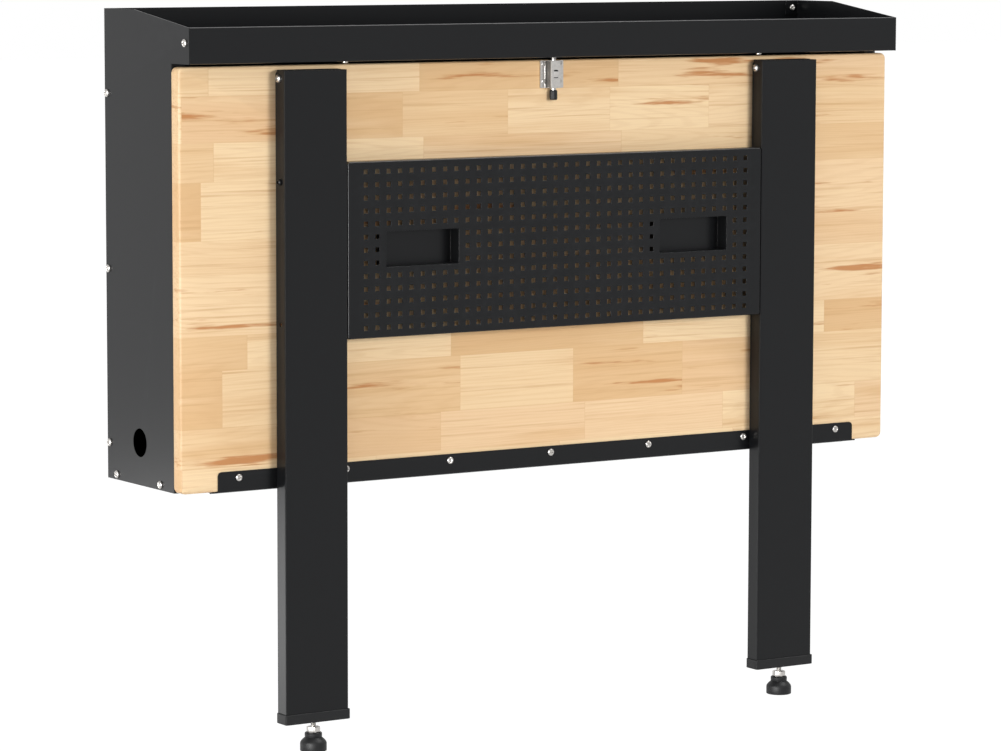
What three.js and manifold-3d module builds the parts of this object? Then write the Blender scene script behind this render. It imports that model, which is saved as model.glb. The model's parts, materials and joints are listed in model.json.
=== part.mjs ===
// Wall mounted folding workbench: a sheet steel wall cabinet with an open tray on top, a solid wood
// worktop that folds down in front of it, and a leg frame that hangs from the worktop's free edge.
// Millimetres, +Z up. The wall is the plane y = 0, the bench faces -Y and x = 0 is its middle.
// The origin is the middle of the back panel's rear face. The bench is modelled folded up.

import * as THREE from 'three';
import { mergeGeometries, mergeVertices } from 'three/addons/utils/BufferGeometryUtils.js';
import Module from 'manifold-3d';

const wasm = await Module();
wasm.setup();

// Cabinet
const CABINET_WIDTH = 1200;
const CABINET_DEPTH = 197;
const CABINET_HEIGHT = 658;
const CABINET_SHEET = 1.2;
const CABINET_BEND = 1.0;
const LIP_OVERHANG = 49.5;
const LIP_HEIGHT = 49.5;
const LIP_HEM = 10;
const LIP_TAB = 22;
const BACK_RISE = 21.5;
const LEVEL_TOP = 89;
const SIDE_FRONT_FLANGE = 20;
const REAR_TAB_WIDTH = 25;
const REAR_TAB_HEIGHT = 22;
const BACK_FLANGE = 15;
const BOTTOM_SIDE_FLANGE = 16;
const BOTTOM_FRONT_FLANGE = 25;
const TRAY_REAR_FLANGE = 20;
const CABLE_HOLE_RADIUS = 20;
const CABLE_HOLE_FROM_WALL = 96.8;
const CABLE_HOLE_RISE = 59.5;
const WALL_HOLE_RADIUS = 4.5;
const WALL_HOLE_INSET = 90;
const WALL_HOLE_DROP = 34;
const WALL_HOLE_RISE = 60;

// Worktop and its hinge
const BOARD_OVERHANG = 2;
const BOARD_THICKNESS = 22;
const BOARD_CORNER = 8;
const BOARD_EDGE = 3;
const BOARD_CABINET_GAP = 0.4;
const BOARD_TRAY_GAP = 4.3;
const BOARD_BOTTOM_RISE = 0.8;
const STRIP_INSET = 57;
const STRIP_HEIGHT = 29;
const STRIP_CORNER = 5;
const STRIP_FOOT_OVERHANG = 8;
const LEAF_SHEET = 1.5;
const LEAF_BEND = 1.0;
const CABINET_LEAF_DEPTH = 30;
const KNUCKLE_COUNT = 7;
const KNUCKLE_RADIUS = 2.5;
const KNUCKLE_GAP = 0.6;
const PIN_RADIUS = 1.25;

// Leg frame
const LEG_INSET = 199;
const LEG_WIDTH = 100;
const LEG_DEPTH = 24.5;
const LEG_LENGTH = 902.6;
const LEG_SHEET = 1.5;
const LEG_BEND = 1.5;
const LEG_TOP_DROP = 6.3;
const PIVOT_STANDOFF = 12;
const BRACKET_SHEET = 2;
const BRACKET_DROP = 42;
const PANEL_HEIGHT = 245.7;
const PANEL_DROP = 239.3;
const PANEL_SHEET = 1.2;
const PANEL_BEND = 0.8;
const PANEL_FLANGE_SETBACK = 3;
const PEG_HOLE = 6.5;
const PEG_PITCH_X = 18.5;
const PEG_PITCH_Z = 18.13;
const PEG_MARGIN_X = 28;
const PEG_MARGIN_Z = 13;
const POCKET_WIDTH = 119.6;
const POCKET_HEIGHT = 49.4;
const POCKET_INSET = 121.3;
const POCKET_CORNER = 2.5;
const POCKET_RIM = 5;
const CAP_WALL = 1.8;
const CAP_HEIGHT = 14;
const CAP_FLOOR = 3;
const CAP_CORNER = 3.5;
const BOSS_HEIGHT = 22;
const PAD_RADIUS = 18.7;
const PAD_BASE_HEIGHT = 12;
const PAD_HEIGHT = 26;
const PAD_NECK_RADIUS = 12.2;
const PAD_SOCKET_DEPTH = 12;
const HEXAGON_FLATS = 17;
const HEXAGON_HEIGHT = 8;
const STUD_RADIUS = 4;
const STUD_SHOWN = 8;
const STUD_INSIDE = 40;

// Latch
const LATCH_STANDOFF = 6;
const LATCH_BOX_DEPTH = 12.5;
const LATCH_BOX_WIDTH = 17.5;
const LATCH_FLANGE = 10.8;
const LATCH_HEIGHT = 39;
const LATCH_TOP_DROP = 0.8;
const LATCH_SHEET = 1.5;
const LATCH_BEND = 0.8;
const LATCH_TAB_RADIUS = 4;
const BOLT_RADIUS = 3.75;
const BOLT_PROJECTION = 4.3;
const BOLT_CHAMFER = 1.2;
const COLLAR_HEIGHT = 1.7;
const STEM_RADIUS = 2.3;
const STEM_NUT_RADIUS = 3.8;
const STEM_NUT_HEIGHT = 2.8;
const KNOB_RADIUS = 5.6;
const KNOB_HEIGHT = 14;
const KNOB_SOCKET = 7;
const SPRING_WIRE = 0.9;
const SPRING_TURNS = 6;

// Fasteners
const SIDE_SCREW = { head: 5.5, rise: 3.2, shank: 2.4, length: 7 };
const STRIP_SCREW = { head: 5, rise: 2.8, shank: 2.2, length: 14 };
const PIVOT_BOLT = { head: 5.5, rise: 4, shank: 3.9, length: 10 };
const PANEL_BOLT = { head: 5, rise: 3.5, shank: 2.9, length: 10 };
const LEG_SCREW = { head: 4.5, rise: 4.5, shank: 2.9, length: 7 };
const BACK_BOLT = { head: 4.5, rise: 3, shank: 2.4 };
const BACK_SCREW_INSET = 7;
const BACK_SCREW_PITCH = 244.9;
const BACK_SCREW_RISE = 50.6;
const BOTTOM_SCREW_RISE = 7.5;
const BOTTOM_SCREW_FROM_WALL = 28.2;
const BOTTOM_SCREW_FROM_FRONT = 40.4;
const LIP_SCREW_INSET = 11.5;
const LIP_SCREW_DROP = 20.7;
const STRIP_SCREW_COUNT = 7;
const STRIP_SCREW_INSET = 32.3;
const STRIP_SCREW_RISE = 19.9;
const PANEL_BOLT_SPREAD = 98;
const BACK_BOLT_INSET = 12.4;
const BACK_BOLT_DROP = 11.5;

// Fits: SEAT between pieces that rest on each other, RUNNING between pieces that move past each other
const SEAT = 0.2;
const RUNNING = 0.8;
const SHANK_FIT = 0.3;
const PIN_FIT = 0.2;
const STOP_GAP = 0.6;
const PANEL_FIT = 0.5;
const EAR_FIT = 0.5;
const EAR_CLEARANCE = 1.5;

// Facets
const ARC_STEPS = 1;
const BOARD_CORNER_STEPS = 2;
const ROUND_SIDES = 12;
const HOLE_SIDES = 12;
const CABLE_HOLE_SIDES = 24;
const SCREW_SIDES = 8;
const FOOT_SIDES = 16;
const WELD = 1e-4;

// Places that several pieces share
const bottom = -CABINET_HEIGHT / 2;
const top = CABINET_HEIGHT / 2;
const lipTop = top - BACK_RISE;
const trayFloor = lipTop - LIP_HEIGHT;
const front = -CABINET_DEPTH;
const lipFront = front - LIP_OVERHANG;
const halfWidth = CABINET_WIDTH / 2;
const halfInside = halfWidth - CABINET_SHEET - SEAT;
const cabinetCorner = CABINET_BEND + CABINET_SHEET;
const boardWidth = CABINET_WIDTH + 2 * BOARD_OVERHANG;
const boardBack = front - BOARD_CABINET_GAP;
const boardFace = boardBack - BOARD_THICKNESS;
const boardTop = trayFloor - BOARD_TRAY_GAP;
const boardBottom = bottom + BOARD_BOTTOM_RISE;
const stripLength = boardWidth - 2 * STRIP_INSET;
const stripScrewPitch = (stripLength - 2 * STRIP_SCREW_INSET) / (STRIP_SCREW_COUNT - 1);
const leafTop = boardBottom - SEAT;
const stripBottom = leafTop - LEAF_SHEET;
const stripFace = boardFace - SEAT - LEAF_SHEET;
const hingeY = front - BOARD_CABINET_GAP / 2;
const hingeZ = leafTop - KNUCKLE_RADIUS - SEAT / 2;
const hingeReach = KNUCKLE_RADIUS + KNUCKLE_GAP;
const legSpacing = boardWidth - 2 * LEG_INSET;
const legBack = stripFace - RUNNING;
const legFront = legBack - LEG_DEPTH;
const legTop = boardTop - LEG_TOP_DROP;
const legBottom = legTop - LEG_LENGTH;
const pivotY = boardFace - PIVOT_STANDOFF;
const pivotRise = PIVOT_STANDOFF - STOP_GAP;
const pivotZ = legTop - pivotRise;
const channelHalfWidth = LEG_WIDTH / 2 - LEG_SHEET;
const channelMiddleY = (legFront + LEG_SHEET + legBack) / 2;
const bossRadius = (LEG_DEPTH - LEG_SHEET) / 2 - RUNNING;
const panelZ = pivotZ - PANEL_DROP;
const panelWidth = legSpacing - LEG_WIDTH - 2 * PANEL_FIT;
const pocketOffset = panelWidth / 2 - POCKET_INSET;
const panelBoltY = legFront + LEG_DEPTH / 2;
const capBottom = legBottom - SEAT - CAP_FLOOR;
const hexagonTop = capBottom - STUD_SHOWN;
const padTop = hexagonTop - HEXAGON_HEIGHT - SEAT;
const padBottom = padTop - PAD_HEIGHT;
const latchTop = boardTop - LATCH_TOP_DROP;
const latchBottom = latchTop - LATCH_HEIGHT;
const latchY = boardFace - LATCH_STANDOFF;
const sides = { left: -1, right: 1 };

// Finishes
const BLACK_COAT = { color: 0x242526, roughness: 0.5, metalness: 0.3 };
const ZINC = { color: 0xb9bcc0, roughness: 0.3, metalness: 0.9 };
const WOOD = { color: 0xe0bb85, roughness: 0.6, metalness: 0 };
const BLACK_PLASTIC = { color: 0x17181a, roughness: 0.55, metalness: 0 };
const BLACK_SCREW = { color: 0x1b1c1e, roughness: 0.45, metalness: 0.6 };

const bench = new THREE.Group();

// Adds one named piece to a group and returns its mesh.
function addPiece(group, name, geometry, finish) {
  const mesh = new THREE.Mesh(geometry, new THREE.MeshStandardMaterial(finish));
  mesh.name = name;
  group.add(mesh);
  return mesh;
}

// Adds an empty group, which carries the pieces that move together.
function addGroup(parent = bench) {
  const group = new THREE.Group();
  parent.add(group);
  return group;
}

// Closed solid of a geometry, with its shared corners welded.
function solidOf(geometry) {
  const bare = new THREE.BufferGeometry();
  bare.setAttribute('position', geometry.getAttribute('position'));
  bare.setIndex(geometry.index);
  const welded = mergeVertices(bare, WELD);
  const corners = welded.index.array;
  const kept = [];
  for (let i = 0; i < corners.length; i += 3) {
    const [a, b, c] = corners.slice(i, i + 3);
    if (a !== b && b !== c && c !== a) kept.push(a, b, c);
  }
  const vertProperties = new Float32Array(welded.getAttribute('position').array);
  return new wasm.Manifold(new wasm.Mesh({ numProp: 3, vertProperties, triVerts: new Uint32Array(kept) }));
}

// Geometry of a solid.
function geometryOf(solid) {
  const mesh = solid.getMesh();
  const geometry = new THREE.BufferGeometry();
  geometry.setAttribute('position', new THREE.BufferAttribute(new Float32Array(mesh.vertProperties), 3));
  geometry.setIndex(new THREE.BufferAttribute(new Uint32Array(mesh.triVerts), 1));
  geometry.computeVertexNormals();
  return geometry;
}

// One geometry from several that are joined, less those that are cut away.
function build(joined, cut = []) {
  const whole = joined.map(solidOf).reduce((sum, part) => sum.add(part));
  return geometryOf(cut.map(solidOf).reduce((rest, part) => rest.subtract(part), whole));
}

// The part of a geometry that lies inside another.
function common(first, second) {
  return geometryOf(solidOf(first).intersect(solidOf(second)));
}

// Mirror image of a geometry across x = 0, with its faces still pointing out.
function mirrored(geometry) {
  const twin = geometry.clone().applyMatrix4(new THREE.Matrix4().makeScale(-1, 1, 1));
  const corners = twin.index.array;
  for (let i = 0; i < corners.length; i += 3) {
    [corners[i], corners[i + 1]] = [corners[i + 1], corners[i]];
  }
  twin.computeVertexNormals();
  return twin;
}

// Extrusion of a (y, z) section along +X, from start.
function alongX(section, start, length) {
  const geometry = extrusion(section, length);
  const turn = new THREE.Matrix4().makeBasis(AXIS_Y, AXIS_Z, AXIS_X);
  return geometry.applyMatrix4(turn).translate(start, 0, 0);
}

// Extrusion of an (x, z) outline towards the front, from the plane y = back.
function forward(outline, back, depth) {
  const geometry = extrusion(outline, depth);
  const turn = new THREE.Matrix4().makeBasis(AXIS_X, AXIS_Z, AXIS_Y.clone().negate());
  return geometry.applyMatrix4(turn).translate(0, back, 0);
}

// Extrusion of an (x, y) section upwards, from the plane z = start.
function upward(section, start, height) {
  return extrusion(section, height).translate(0, 0, start);
}

function extrusion(section, depth) {
  return new THREE.ExtrudeGeometry(section, { depth, bevelEnabled: false, curveSegments: ARC_STEPS });
}

const AXIS_X = new THREE.Vector3(1, 0, 0);
const AXIS_Y = new THREE.Vector3(0, 1, 0);
const AXIS_Z = new THREE.Vector3(0, 0, 1);

// Straight-sided outline through points.
function outlineOf(points) {
  return new THREE.Shape(points.map(([x, y]) => new THREE.Vector2(x, y)));
}

// Rectangle between two corners.
function rectangle(x0, y0, x1, y1) {
  return outlineOf([[x0, y0], [x1, y0], [x1, y1], [x0, y1]]);
}

// Regular polygon that stands for a circle.
function circle(x, y, radius, count = HOLE_SIDES) {
  const angles = Array.from({ length: count }, (_, i) => (i + 0.5) * 2 * Math.PI / count);
  return outlineOf(angles.map((a) => [x + radius * Math.cos(a), y + radius * Math.sin(a)]));
}

// Rectangle round a middle point, with rounded corners.
function roundedRectangle(x, y, width, height, radius) {
  const shape = new THREE.Shape();
  const [right, upper] = [width / 2 - radius, height / 2 - radius];
  shape.absarc(x + right, y + upper, radius, 0, Math.PI / 2);
  shape.absarc(x - right, y + upper, radius, Math.PI / 2, Math.PI);
  shape.absarc(x - right, y - upper, radius, Math.PI, 1.5 * Math.PI);
  shape.absarc(x + right, y - upper, radius, 1.5 * Math.PI, 2 * Math.PI);
  shape.closePath();
  return shape;
}

// Section of a folded sheet. The points follow its outer face, with the sheet on their left.
function foldedSection(points, sheet, bend) {
  const path = points.map(([x, y]) => new THREE.Vector2(x, y));
  const runs = path.slice(1).map((point, i) => point.clone().sub(path[i]).normalize());
  const normals = runs.map((run) => new THREE.Vector2(-run.y, run.x));
  const bends = normals.slice(1).map((normal, i) => {
    const sum = normals[i].clone().add(normal);
    const reach = (bend + sheet) / (1 + normals[i].dot(normal));
    const centre = path[i + 1].clone().addScaledVector(sum, reach);
    return { centre, from: normals[i].clone().negate().angle(), to: normal.clone().negate().angle() };
  });
  const last = path.length - 1;
  const [startNormal, endNormal] = [normals[0], normals[last - 1]];
  const shape = new THREE.Shape();
  const lineTo = (point) => shape.lineTo(point.x, point.y);
  const arcEnd = (corner, radius, angle) => corner.centre.clone()
    .add(new THREE.Vector2(radius * Math.cos(angle), radius * Math.sin(angle)));
  shape.moveTo(path[0].x, path[0].y);
  for (const corner of bends) {
    lineTo(arcEnd(corner, bend + sheet, corner.from));
    shape.absarc(corner.centre.x, corner.centre.y, bend + sheet, corner.from, corner.to, false);
  }
  lineTo(path[last]);
  lineTo(path[last].clone().addScaledVector(endNormal, sheet));
  for (const corner of bends.reverse()) {
    lineTo(arcEnd(corner, bend, corner.to));
    shape.absarc(corner.centre.x, corner.centre.y, bend, corner.to, corner.from, true);
  }
  lineTo(path[0].clone().addScaledVector(startNormal, sheet));
  shape.closePath();
  return shape;
}

// Solid of revolution round +Y, from [radius, height] points that start and end on the axis.
function turned(profile, count = ROUND_SIDES) {
  return new THREE.LatheGeometry(profile.map(([r, y]) => new THREE.Vector2(r, y)), count);
}

// Round bar along X between two ends.
function barAlongX(radius, start, end, y, z, count = ROUND_SIDES) {
  return alongX(circle(y, z, radius, count), start, end - start);
}

// Screw with a domed head above y = 0 and a plain shank below it.
function screw({ head, rise, shank, length }) {
  return turned([
    [0, -length], [shank, -length], [shank, 0], [head, 0], [0.7 * head, rise], [0, rise],
  ], SCREW_SIDES);
}

// Turns that point a fastener's head along an axis
const HEAD_TURNS = {
  left: [0, 0, Math.PI / 2],
  right: [0, 0, -Math.PI / 2],
  front: [Math.PI, 0, 0],
};

// Adds a fastener whose head rests on a surface at the given place.
function addFastener(group, name, size, facing, place, finish = ZINC) {
  const mesh = addPiece(group, name, screw(size), finish);
  mesh.rotation.set(...HEAD_TURNS[facing]);
  mesh.position.set(...place);
  return mesh;
}

// Flat sheet in the (x, y) plane with flanges that rise to z = rise along chosen edges. A flange stops
// short of its low and its high end by two trims, and the corners stay open as on a folded blank.
function flangedSheet({ x0, x1, y0, y1, sheet, bend, flanges, holes = [] }) {
  const corner = bend + sheet;
  const inset = (edge) => (flanges[edge] ? corner : 0);
  const flat = rectangle(x0 + inset('left'), y0 + inset('front'), x1 - inset('right'), y1 - inset('back'));
  flat.holes.push(...holes);
  const pieces = [upward(flat, 0, sheet)];
  for (const [edge, { rise, trim = [corner, corner] }] of Object.entries(flanges)) {
    const section = foldedSection([[-2 * corner, 0], [0, 0], [0, rise]], sheet, bend);
    const across = edge === 'left' || edge === 'right';
    const span = across ? y1 - y0 : x1 - x0;
    const [low, high] = trim;
    const start = edge === 'right' || edge === 'front' ? high : low;
    const strip = upward(section, start - span / 2, span - low - high);
    strip.applyMatrix4(new THREE.Matrix4().makeBasis(AXIS_X, AXIS_Z, AXIS_Y.clone().negate()));
    strip.rotateZ(EDGE_TURNS[edge]);
    const middle = across ? (y0 + y1) / 2 : (x0 + x1) / 2;
    const reach = { right: x1, left: x0, back: y1, front: y0 }[edge];
    pieces.push(across ? strip.translate(reach, middle, 0) : strip.translate(middle, reach, 0));
  }
  return pieces;
}

const EDGE_TURNS = { right: 0, back: Math.PI / 2, left: Math.PI, front: -Math.PI / 2 };

// Cabinet
const cabinet = addGroup();
const backScrewHeights = [0, 1, 2].map((i) => bottom + BACK_SCREW_RISE + i * BACK_SCREW_PITCH);
const sideScrewPlaces = [
  ...backScrewHeights.map((z) => [-BACK_SCREW_INSET, z]),
  [-BOTTOM_SCREW_FROM_WALL, bottom + BOTTOM_SCREW_RISE],
  [front + BOTTOM_SCREW_FROM_FRONT, bottom + BOTTOM_SCREW_RISE],
  [lipFront + LIP_SCREW_INSET, lipTop - LIP_SCREW_DROP],
];
const screwHole = SIDE_SCREW.shank + SHANK_FIT;
const backBoltX = halfWidth - BACK_BOLT_INSET;
const backBoltZ = top - BACK_BOLT_DROP;
const backBoltHole = BACK_BOLT.shank + SHANK_FIT;
const rearTabBack = -CABINET_SHEET - SEAT;

// The side panel is a stepped wall whose lower front edge folds inwards behind the worktop.
function leftSidePanel() {
  const wall = outlineOf([
    [0, bottom], [0, top], [-LEVEL_TOP, top], [lipFront, lipTop], [lipFront, trayFloor],
    [front + cabinetCorner, trayFloor], [front + cabinetCorner, bottom],
  ].reverse());
  wall.holes.push(
    circle(-CABLE_HOLE_FROM_WALL, bottom + CABLE_HOLE_RISE, CABLE_HOLE_RADIUS, CABLE_HOLE_SIDES),
    ...sideScrewPlaces.map(([y, z]) => circle(y, z, screwHole, SCREW_SIDES)),
  );
  const fold = foldedSection([
    [-halfWidth, front + 2 * cabinetCorner], [-halfWidth, front], [SIDE_FRONT_FLANGE - halfWidth, front],
  ], CABINET_SHEET, CABINET_BEND);
  const rearTab = rectangle(-halfWidth, top - REAR_TAB_HEIGHT, REAR_TAB_WIDTH - halfWidth, top - SEAT);
  rearTab.holes.push(circle(-backBoltX, backBoltZ, backBoltHole, SCREW_SIDES));
  return build([
    alongX(wall, -halfWidth, CABINET_SHEET),
    upward(fold, bottom, trayFloor - SEAT - bottom),
    forward(rearTab, rearTabBack, CABINET_SHEET),
  ]);
}

const leftSide = leftSidePanel();
addPiece(cabinet, 'left_side_panel', leftSide, BLACK_COAT);
addPiece(cabinet, 'right_side_panel', mirrored(leftSide), BLACK_COAT);

// The back panel stands on the bottom panel. Its side flanges end below the tray.
function backPanel() {
  const foot = bottom + CABINET_SHEET + SEAT;
  const flangeTop = trayFloor - SEAT - CABINET_SHEET;
  const wallHoles = [];
  for (const x of [WALL_HOLE_INSET - halfWidth, halfWidth - WALL_HOLE_INSET]) {
    wallHoles.push(circle(x, trayFloor - WALL_HOLE_DROP, WALL_HOLE_RADIUS, SCREW_SIDES));
    wallHoles.push(circle(x, bottom + WALL_HOLE_RISE, WALL_HOLE_RADIUS, SCREW_SIDES));
    wallHoles.push(circle(Math.sign(x) * backBoltX, backBoltZ, backBoltHole, SCREW_SIDES));
  }
  const edge = { rise: BACK_FLANGE, trim: [0, top - flangeTop] };
  const pieces = flangedSheet({
    x0: -halfInside, x1: halfInside, y0: foot, y1: top,
    sheet: CABINET_SHEET, bend: CABINET_BEND, holes: wallHoles,
    flanges: { right: edge, left: edge },
  });
  const margin = rectangle(-halfInside, flangeTop, halfInside, top);
  margin.holes.push(...wallHoles.filter((hole) => hole.getPoints().every((point) => point.y > flangeTop)));
  const panel = build([...pieces, upward(margin, 0, CABINET_SHEET)], sideScrewPlaces.slice(0, 3).map(
    ([y, z]) => barAlongX(screwHole, -halfWidth, halfWidth, z, -y, SCREW_SIDES),
  ));
  return panel.rotateX(Math.PI / 2);
}

addPiece(cabinet, 'back_panel', backPanel(), BLACK_COAT);

// The bottom panel closes the cabinet below and carries the hinge.
function bottomPanel() {
  const sideTrim = [2 * cabinetCorner, BACK_FLANGE + RUNNING];
  const pieces = flangedSheet({
    x0: -halfInside, x1: halfInside, y0: front + CABINET_SHEET + SEAT, y1: 0,
    sheet: CABINET_SHEET, bend: CABINET_BEND,
    flanges: {
      right: { rise: BOTTOM_SIDE_FLANGE, trim: sideTrim },
      left: { rise: BOTTOM_SIDE_FLANGE, trim: sideTrim },
      front: { rise: BOTTOM_FRONT_FLANGE },
    },
  });
  const cuts = sideScrewPlaces.slice(3, 5).map(
    ([y]) => barAlongX(screwHole, -halfWidth, halfWidth, y, BOTTOM_SCREW_RISE, SCREW_SIDES),
  );
  return build(pieces, cuts).translate(0, 0, bottom);
}

addPiece(cabinet, 'bottom_panel', bottomPanel(), BLACK_COAT);

// The tray is one folded sheet: hem, lip, floor and rear flange, with a tab at each end of the lip.
function tray() {
  const rear = -CABINET_SHEET - SEAT;
  const section = foldedSection([
    [lipFront + LIP_HEM, lipTop], [lipFront, lipTop], [lipFront, trayFloor],
    [rear, trayFloor], [rear, trayFloor + TRAY_REAR_FLANGE],
  ], CABINET_SHEET, CABINET_BEND);
  const tab = rectangle(
    lipFront + CABINET_SHEET / 2, trayFloor + cabinetCorner, lipFront + LIP_TAB, lipTop - cabinetCorner,
  );
  const [lipScrewY, lipScrewZ] = sideScrewPlaces.at(-1);
  tab.holes.push(circle(lipScrewY, lipScrewZ, screwHole, SCREW_SIDES));
  const keeper = circle(0, latchY, BOLT_RADIUS + RUNNING);
  return build([
    alongX(section, -halfInside, 2 * halfInside),
    alongX(tab, -halfInside, CABINET_SHEET),
    alongX(tab, halfInside - CABINET_SHEET, CABINET_SHEET),
  ], [upward(keeper, trayFloor - CABINET_SHEET, 3 * CABINET_SHEET)]);
}

addPiece(cabinet, 'tray', tray(), BLACK_COAT);

for (const [side, sign] of Object.entries(sides)) {
  sideScrewPlaces.forEach(([y, z], i) => {
    addFastener(cabinet, `${side}_side_screw_${i + 1}`, SIDE_SCREW, side, [sign * (halfWidth + SEAT), y, z]);
  });
  const seat = rearTabBack - CABINET_SHEET - SEAT;
  const size = { ...BACK_BOLT, length: -seat - SEAT };
  addFastener(cabinet, `${side}_back_bolt`, size, 'front', [sign * backBoltX, seat, backBoltZ]);
}

// Hinge: knuckles of the two leaves alternate along one pin. A leaf keeps clear of the other's knuckles.
const knuckleLength = stripLength / KNUCKLE_COUNT;
const boreRadius = PIN_RADIUS + PIN_FIT;

function hingeLeaf(plates, first, tongueFrom, tongueTo, tongueBottom) {
  const knuckles = [];
  for (let i = first; i < KNUCKLE_COUNT; i += 2) {
    const start = i * knuckleLength - stripLength / 2 + KNUCKLE_GAP / 2;
    const length = knuckleLength - KNUCKLE_GAP;
    const tongue = rectangle(tongueFrom, tongueBottom, tongueTo, tongueBottom + LEAF_SHEET);
    knuckles.push(barAlongX(KNUCKLE_RADIUS, start, start + length, hingeY, hingeZ));
    knuckles.push(alongX(tongue, start, length));
  }
  const bore = barAlongX(boreRadius, -stripLength, stripLength, hingeY, hingeZ);
  return build([...plates, ...knuckles], [bore]);
}

function cabinetLeaf() {
  const leafBottom = bottom - SEAT - LEAF_SHEET;
  const plateFront = hingeY + hingeReach;
  const plate = rectangle(plateFront, leafBottom, front + CABINET_LEAF_DEPTH, leafBottom + LEAF_SHEET);
  const plates = [alongX(plate, -stripLength / 2, stripLength)];
  return hingeLeaf(plates, 1, hingeY, plateFront + LEAF_SHEET, leafBottom);
}

addPiece(cabinet, 'cabinet_hinge_leaf', cabinetLeaf(), BLACK_COAT);

// Worktop
const worktop = addGroup();
const stripScrewPlaces = Array.from(
  { length: STRIP_SCREW_COUNT }, (_, i) => (i - (STRIP_SCREW_COUNT - 1) / 2) * stripScrewPitch,
);
const stripScrewZ = stripBottom + STRIP_SCREW_RISE;
const stripScrewHole = STRIP_SCREW.shank + SHANK_FIT;

// The strip runs under the board and turns up its face.
function worktopStrip() {
  const foldHeight = STRIP_SCREW_RISE - STRIP_SCREW.head;
  const plateBack = hingeY - hingeReach;
  const fold = foldedSection([
    [stripFace, stripBottom + foldHeight], [stripFace, stripBottom], [plateBack, stripBottom],
  ], LEAF_SHEET, LEAF_BEND);
  const foot = rectangle(stripFace + 2 * LEAF_SHEET, stripBottom, plateBack, leafTop);
  const face = roundedRectangle(0, stripBottom + STRIP_HEIGHT / 2, stripLength, STRIP_HEIGHT, STRIP_CORNER);
  face.holes.push(...stripScrewPlaces.map((x) => circle(x, stripScrewZ, stripScrewHole, SCREW_SIDES)));
  const lower = rectangle(-stripLength, bottom - STRIP_HEIGHT, stripLength, stripBottom + foldHeight / 2);
  const upper = build(
    [forward(face, boardFace - SEAT, LEAF_SHEET)],
    [forward(lower, boardBack, 2 * BOARD_THICKNESS)],
  );
  const footLength = stripLength + 2 * STRIP_FOOT_OVERHANG;
  const plates = [
    alongX(fold, -stripLength / 2, stripLength),
    alongX(foot, -footLength / 2, footLength),
    upper,
  ];
  return hingeLeaf(plates, 0, plateBack - LEAF_SHEET, hingeY, stripBottom);
}

addPiece(worktop, 'worktop_hinge_strip', worktopStrip(), BLACK_COAT);
addPiece(worktop, 'hinge_pin', barAlongX(
  PIN_RADIUS, -stripLength / 2 - PIN_RADIUS, stripLength / 2 + PIN_RADIUS, hingeY, hingeZ,
), ZINC);

// The board has rounded corners and eased edges, and a pilot hole for each strip screw.
function worktopBoard() {
  const height = boardTop - boardBottom;
  const outline = roundedRectangle(0, (boardTop + boardBottom) / 2, boardWidth, height, BOARD_CORNER);
  const slab = new THREE.ExtrudeGeometry(outline, {
    depth: BOARD_THICKNESS - 2 * BOARD_EDGE, curveSegments: BOARD_CORNER_STEPS, bevelSegments: 2,
    bevelSize: BOARD_EDGE, bevelOffset: -BOARD_EDGE, bevelThickness: BOARD_EDGE,
  });
  slab.applyMatrix4(new THREE.Matrix4().makeBasis(AXIS_X, AXIS_Z, AXIS_Y.clone().negate()));
  slab.translate(0, boardBack - BOARD_EDGE, 0);
  const depth = STRIP_SCREW.length;
  const pilots = stripScrewPlaces.map(
    (x) => forward(circle(x, stripScrewZ, stripScrewHole, SCREW_SIDES), boardFace + depth, 2 * depth),
  );
  return build([slab], pilots);
}

addPiece(worktop, 'worktop_board', worktopBoard(), WOOD);
stripScrewPlaces.forEach((x, i) => {
  addFastener(worktop, `strip_screw_${i + 1}`, STRIP_SCREW, 'front', [x, stripFace - SEAT, stripScrewZ]);
});

// Leg bracket: a channel on the board whose two ears carry the pivot bolts. Its middle is the pivot.
const pivotHole = PIVOT_BOLT.shank + SHANK_FIT;
const legFrontReach = pivotY - legFront;
const earRadius = legFrontReach - LEG_SHEET - EAR_CLEARANCE;

function legBracket() {
  const half = channelHalfWidth - EAR_FIT;
  const back = PIVOT_STANDOFF - SEAT;
  const section = foldedSection(
    [[half, -legFrontReach], [half, back], [-half, back], [-half, -legFrontReach]], BRACKET_SHEET, LEG_BEND,
  );
  const ear = new THREE.Shape();
  ear.moveTo(PIVOT_STANDOFF, -BRACKET_DROP);
  ear.lineTo(PIVOT_STANDOFF, earRadius);
  ear.lineTo(0, earRadius);
  ear.absarc(0, 0, earRadius, Math.PI / 2, 1.25 * Math.PI);
  ear.lineTo(back - 2 * BRACKET_SHEET, -BRACKET_DROP);
  ear.closePath();
  const channel = upward(section, -BRACKET_DROP, BRACKET_DROP + earRadius);
  const bracket = common(channel, alongX(ear, -LEG_WIDTH, 2 * LEG_WIDTH));
  return build([bracket], [barAlongX(pivotHole, -LEG_WIDTH, LEG_WIDTH, 0, 0)]);
}

for (const [side, sign] of Object.entries(sides)) {
  const bracket = addPiece(worktop, `${side}_leg_bracket`, legBracket(), ZINC);
  bracket.position.set(sign * legSpacing / 2, pivotY, pivotZ);
}

// Latch: a hat-shaped housing on the board guides a sprung bolt that enters the tray floor.
const bottomTabTop = latchBottom + LATCH_SHEET;
const collarTop = latchTop - LATCH_SHEET - SEAT;
const boltTip = trayFloor + CABINET_SHEET + BOLT_PROJECTION;
const boltReach = LATCH_BOX_DEPTH - LATCH_SHEET - LATCH_STANDOFF;
const collarRadius = boltReach - SEAT;

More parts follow.
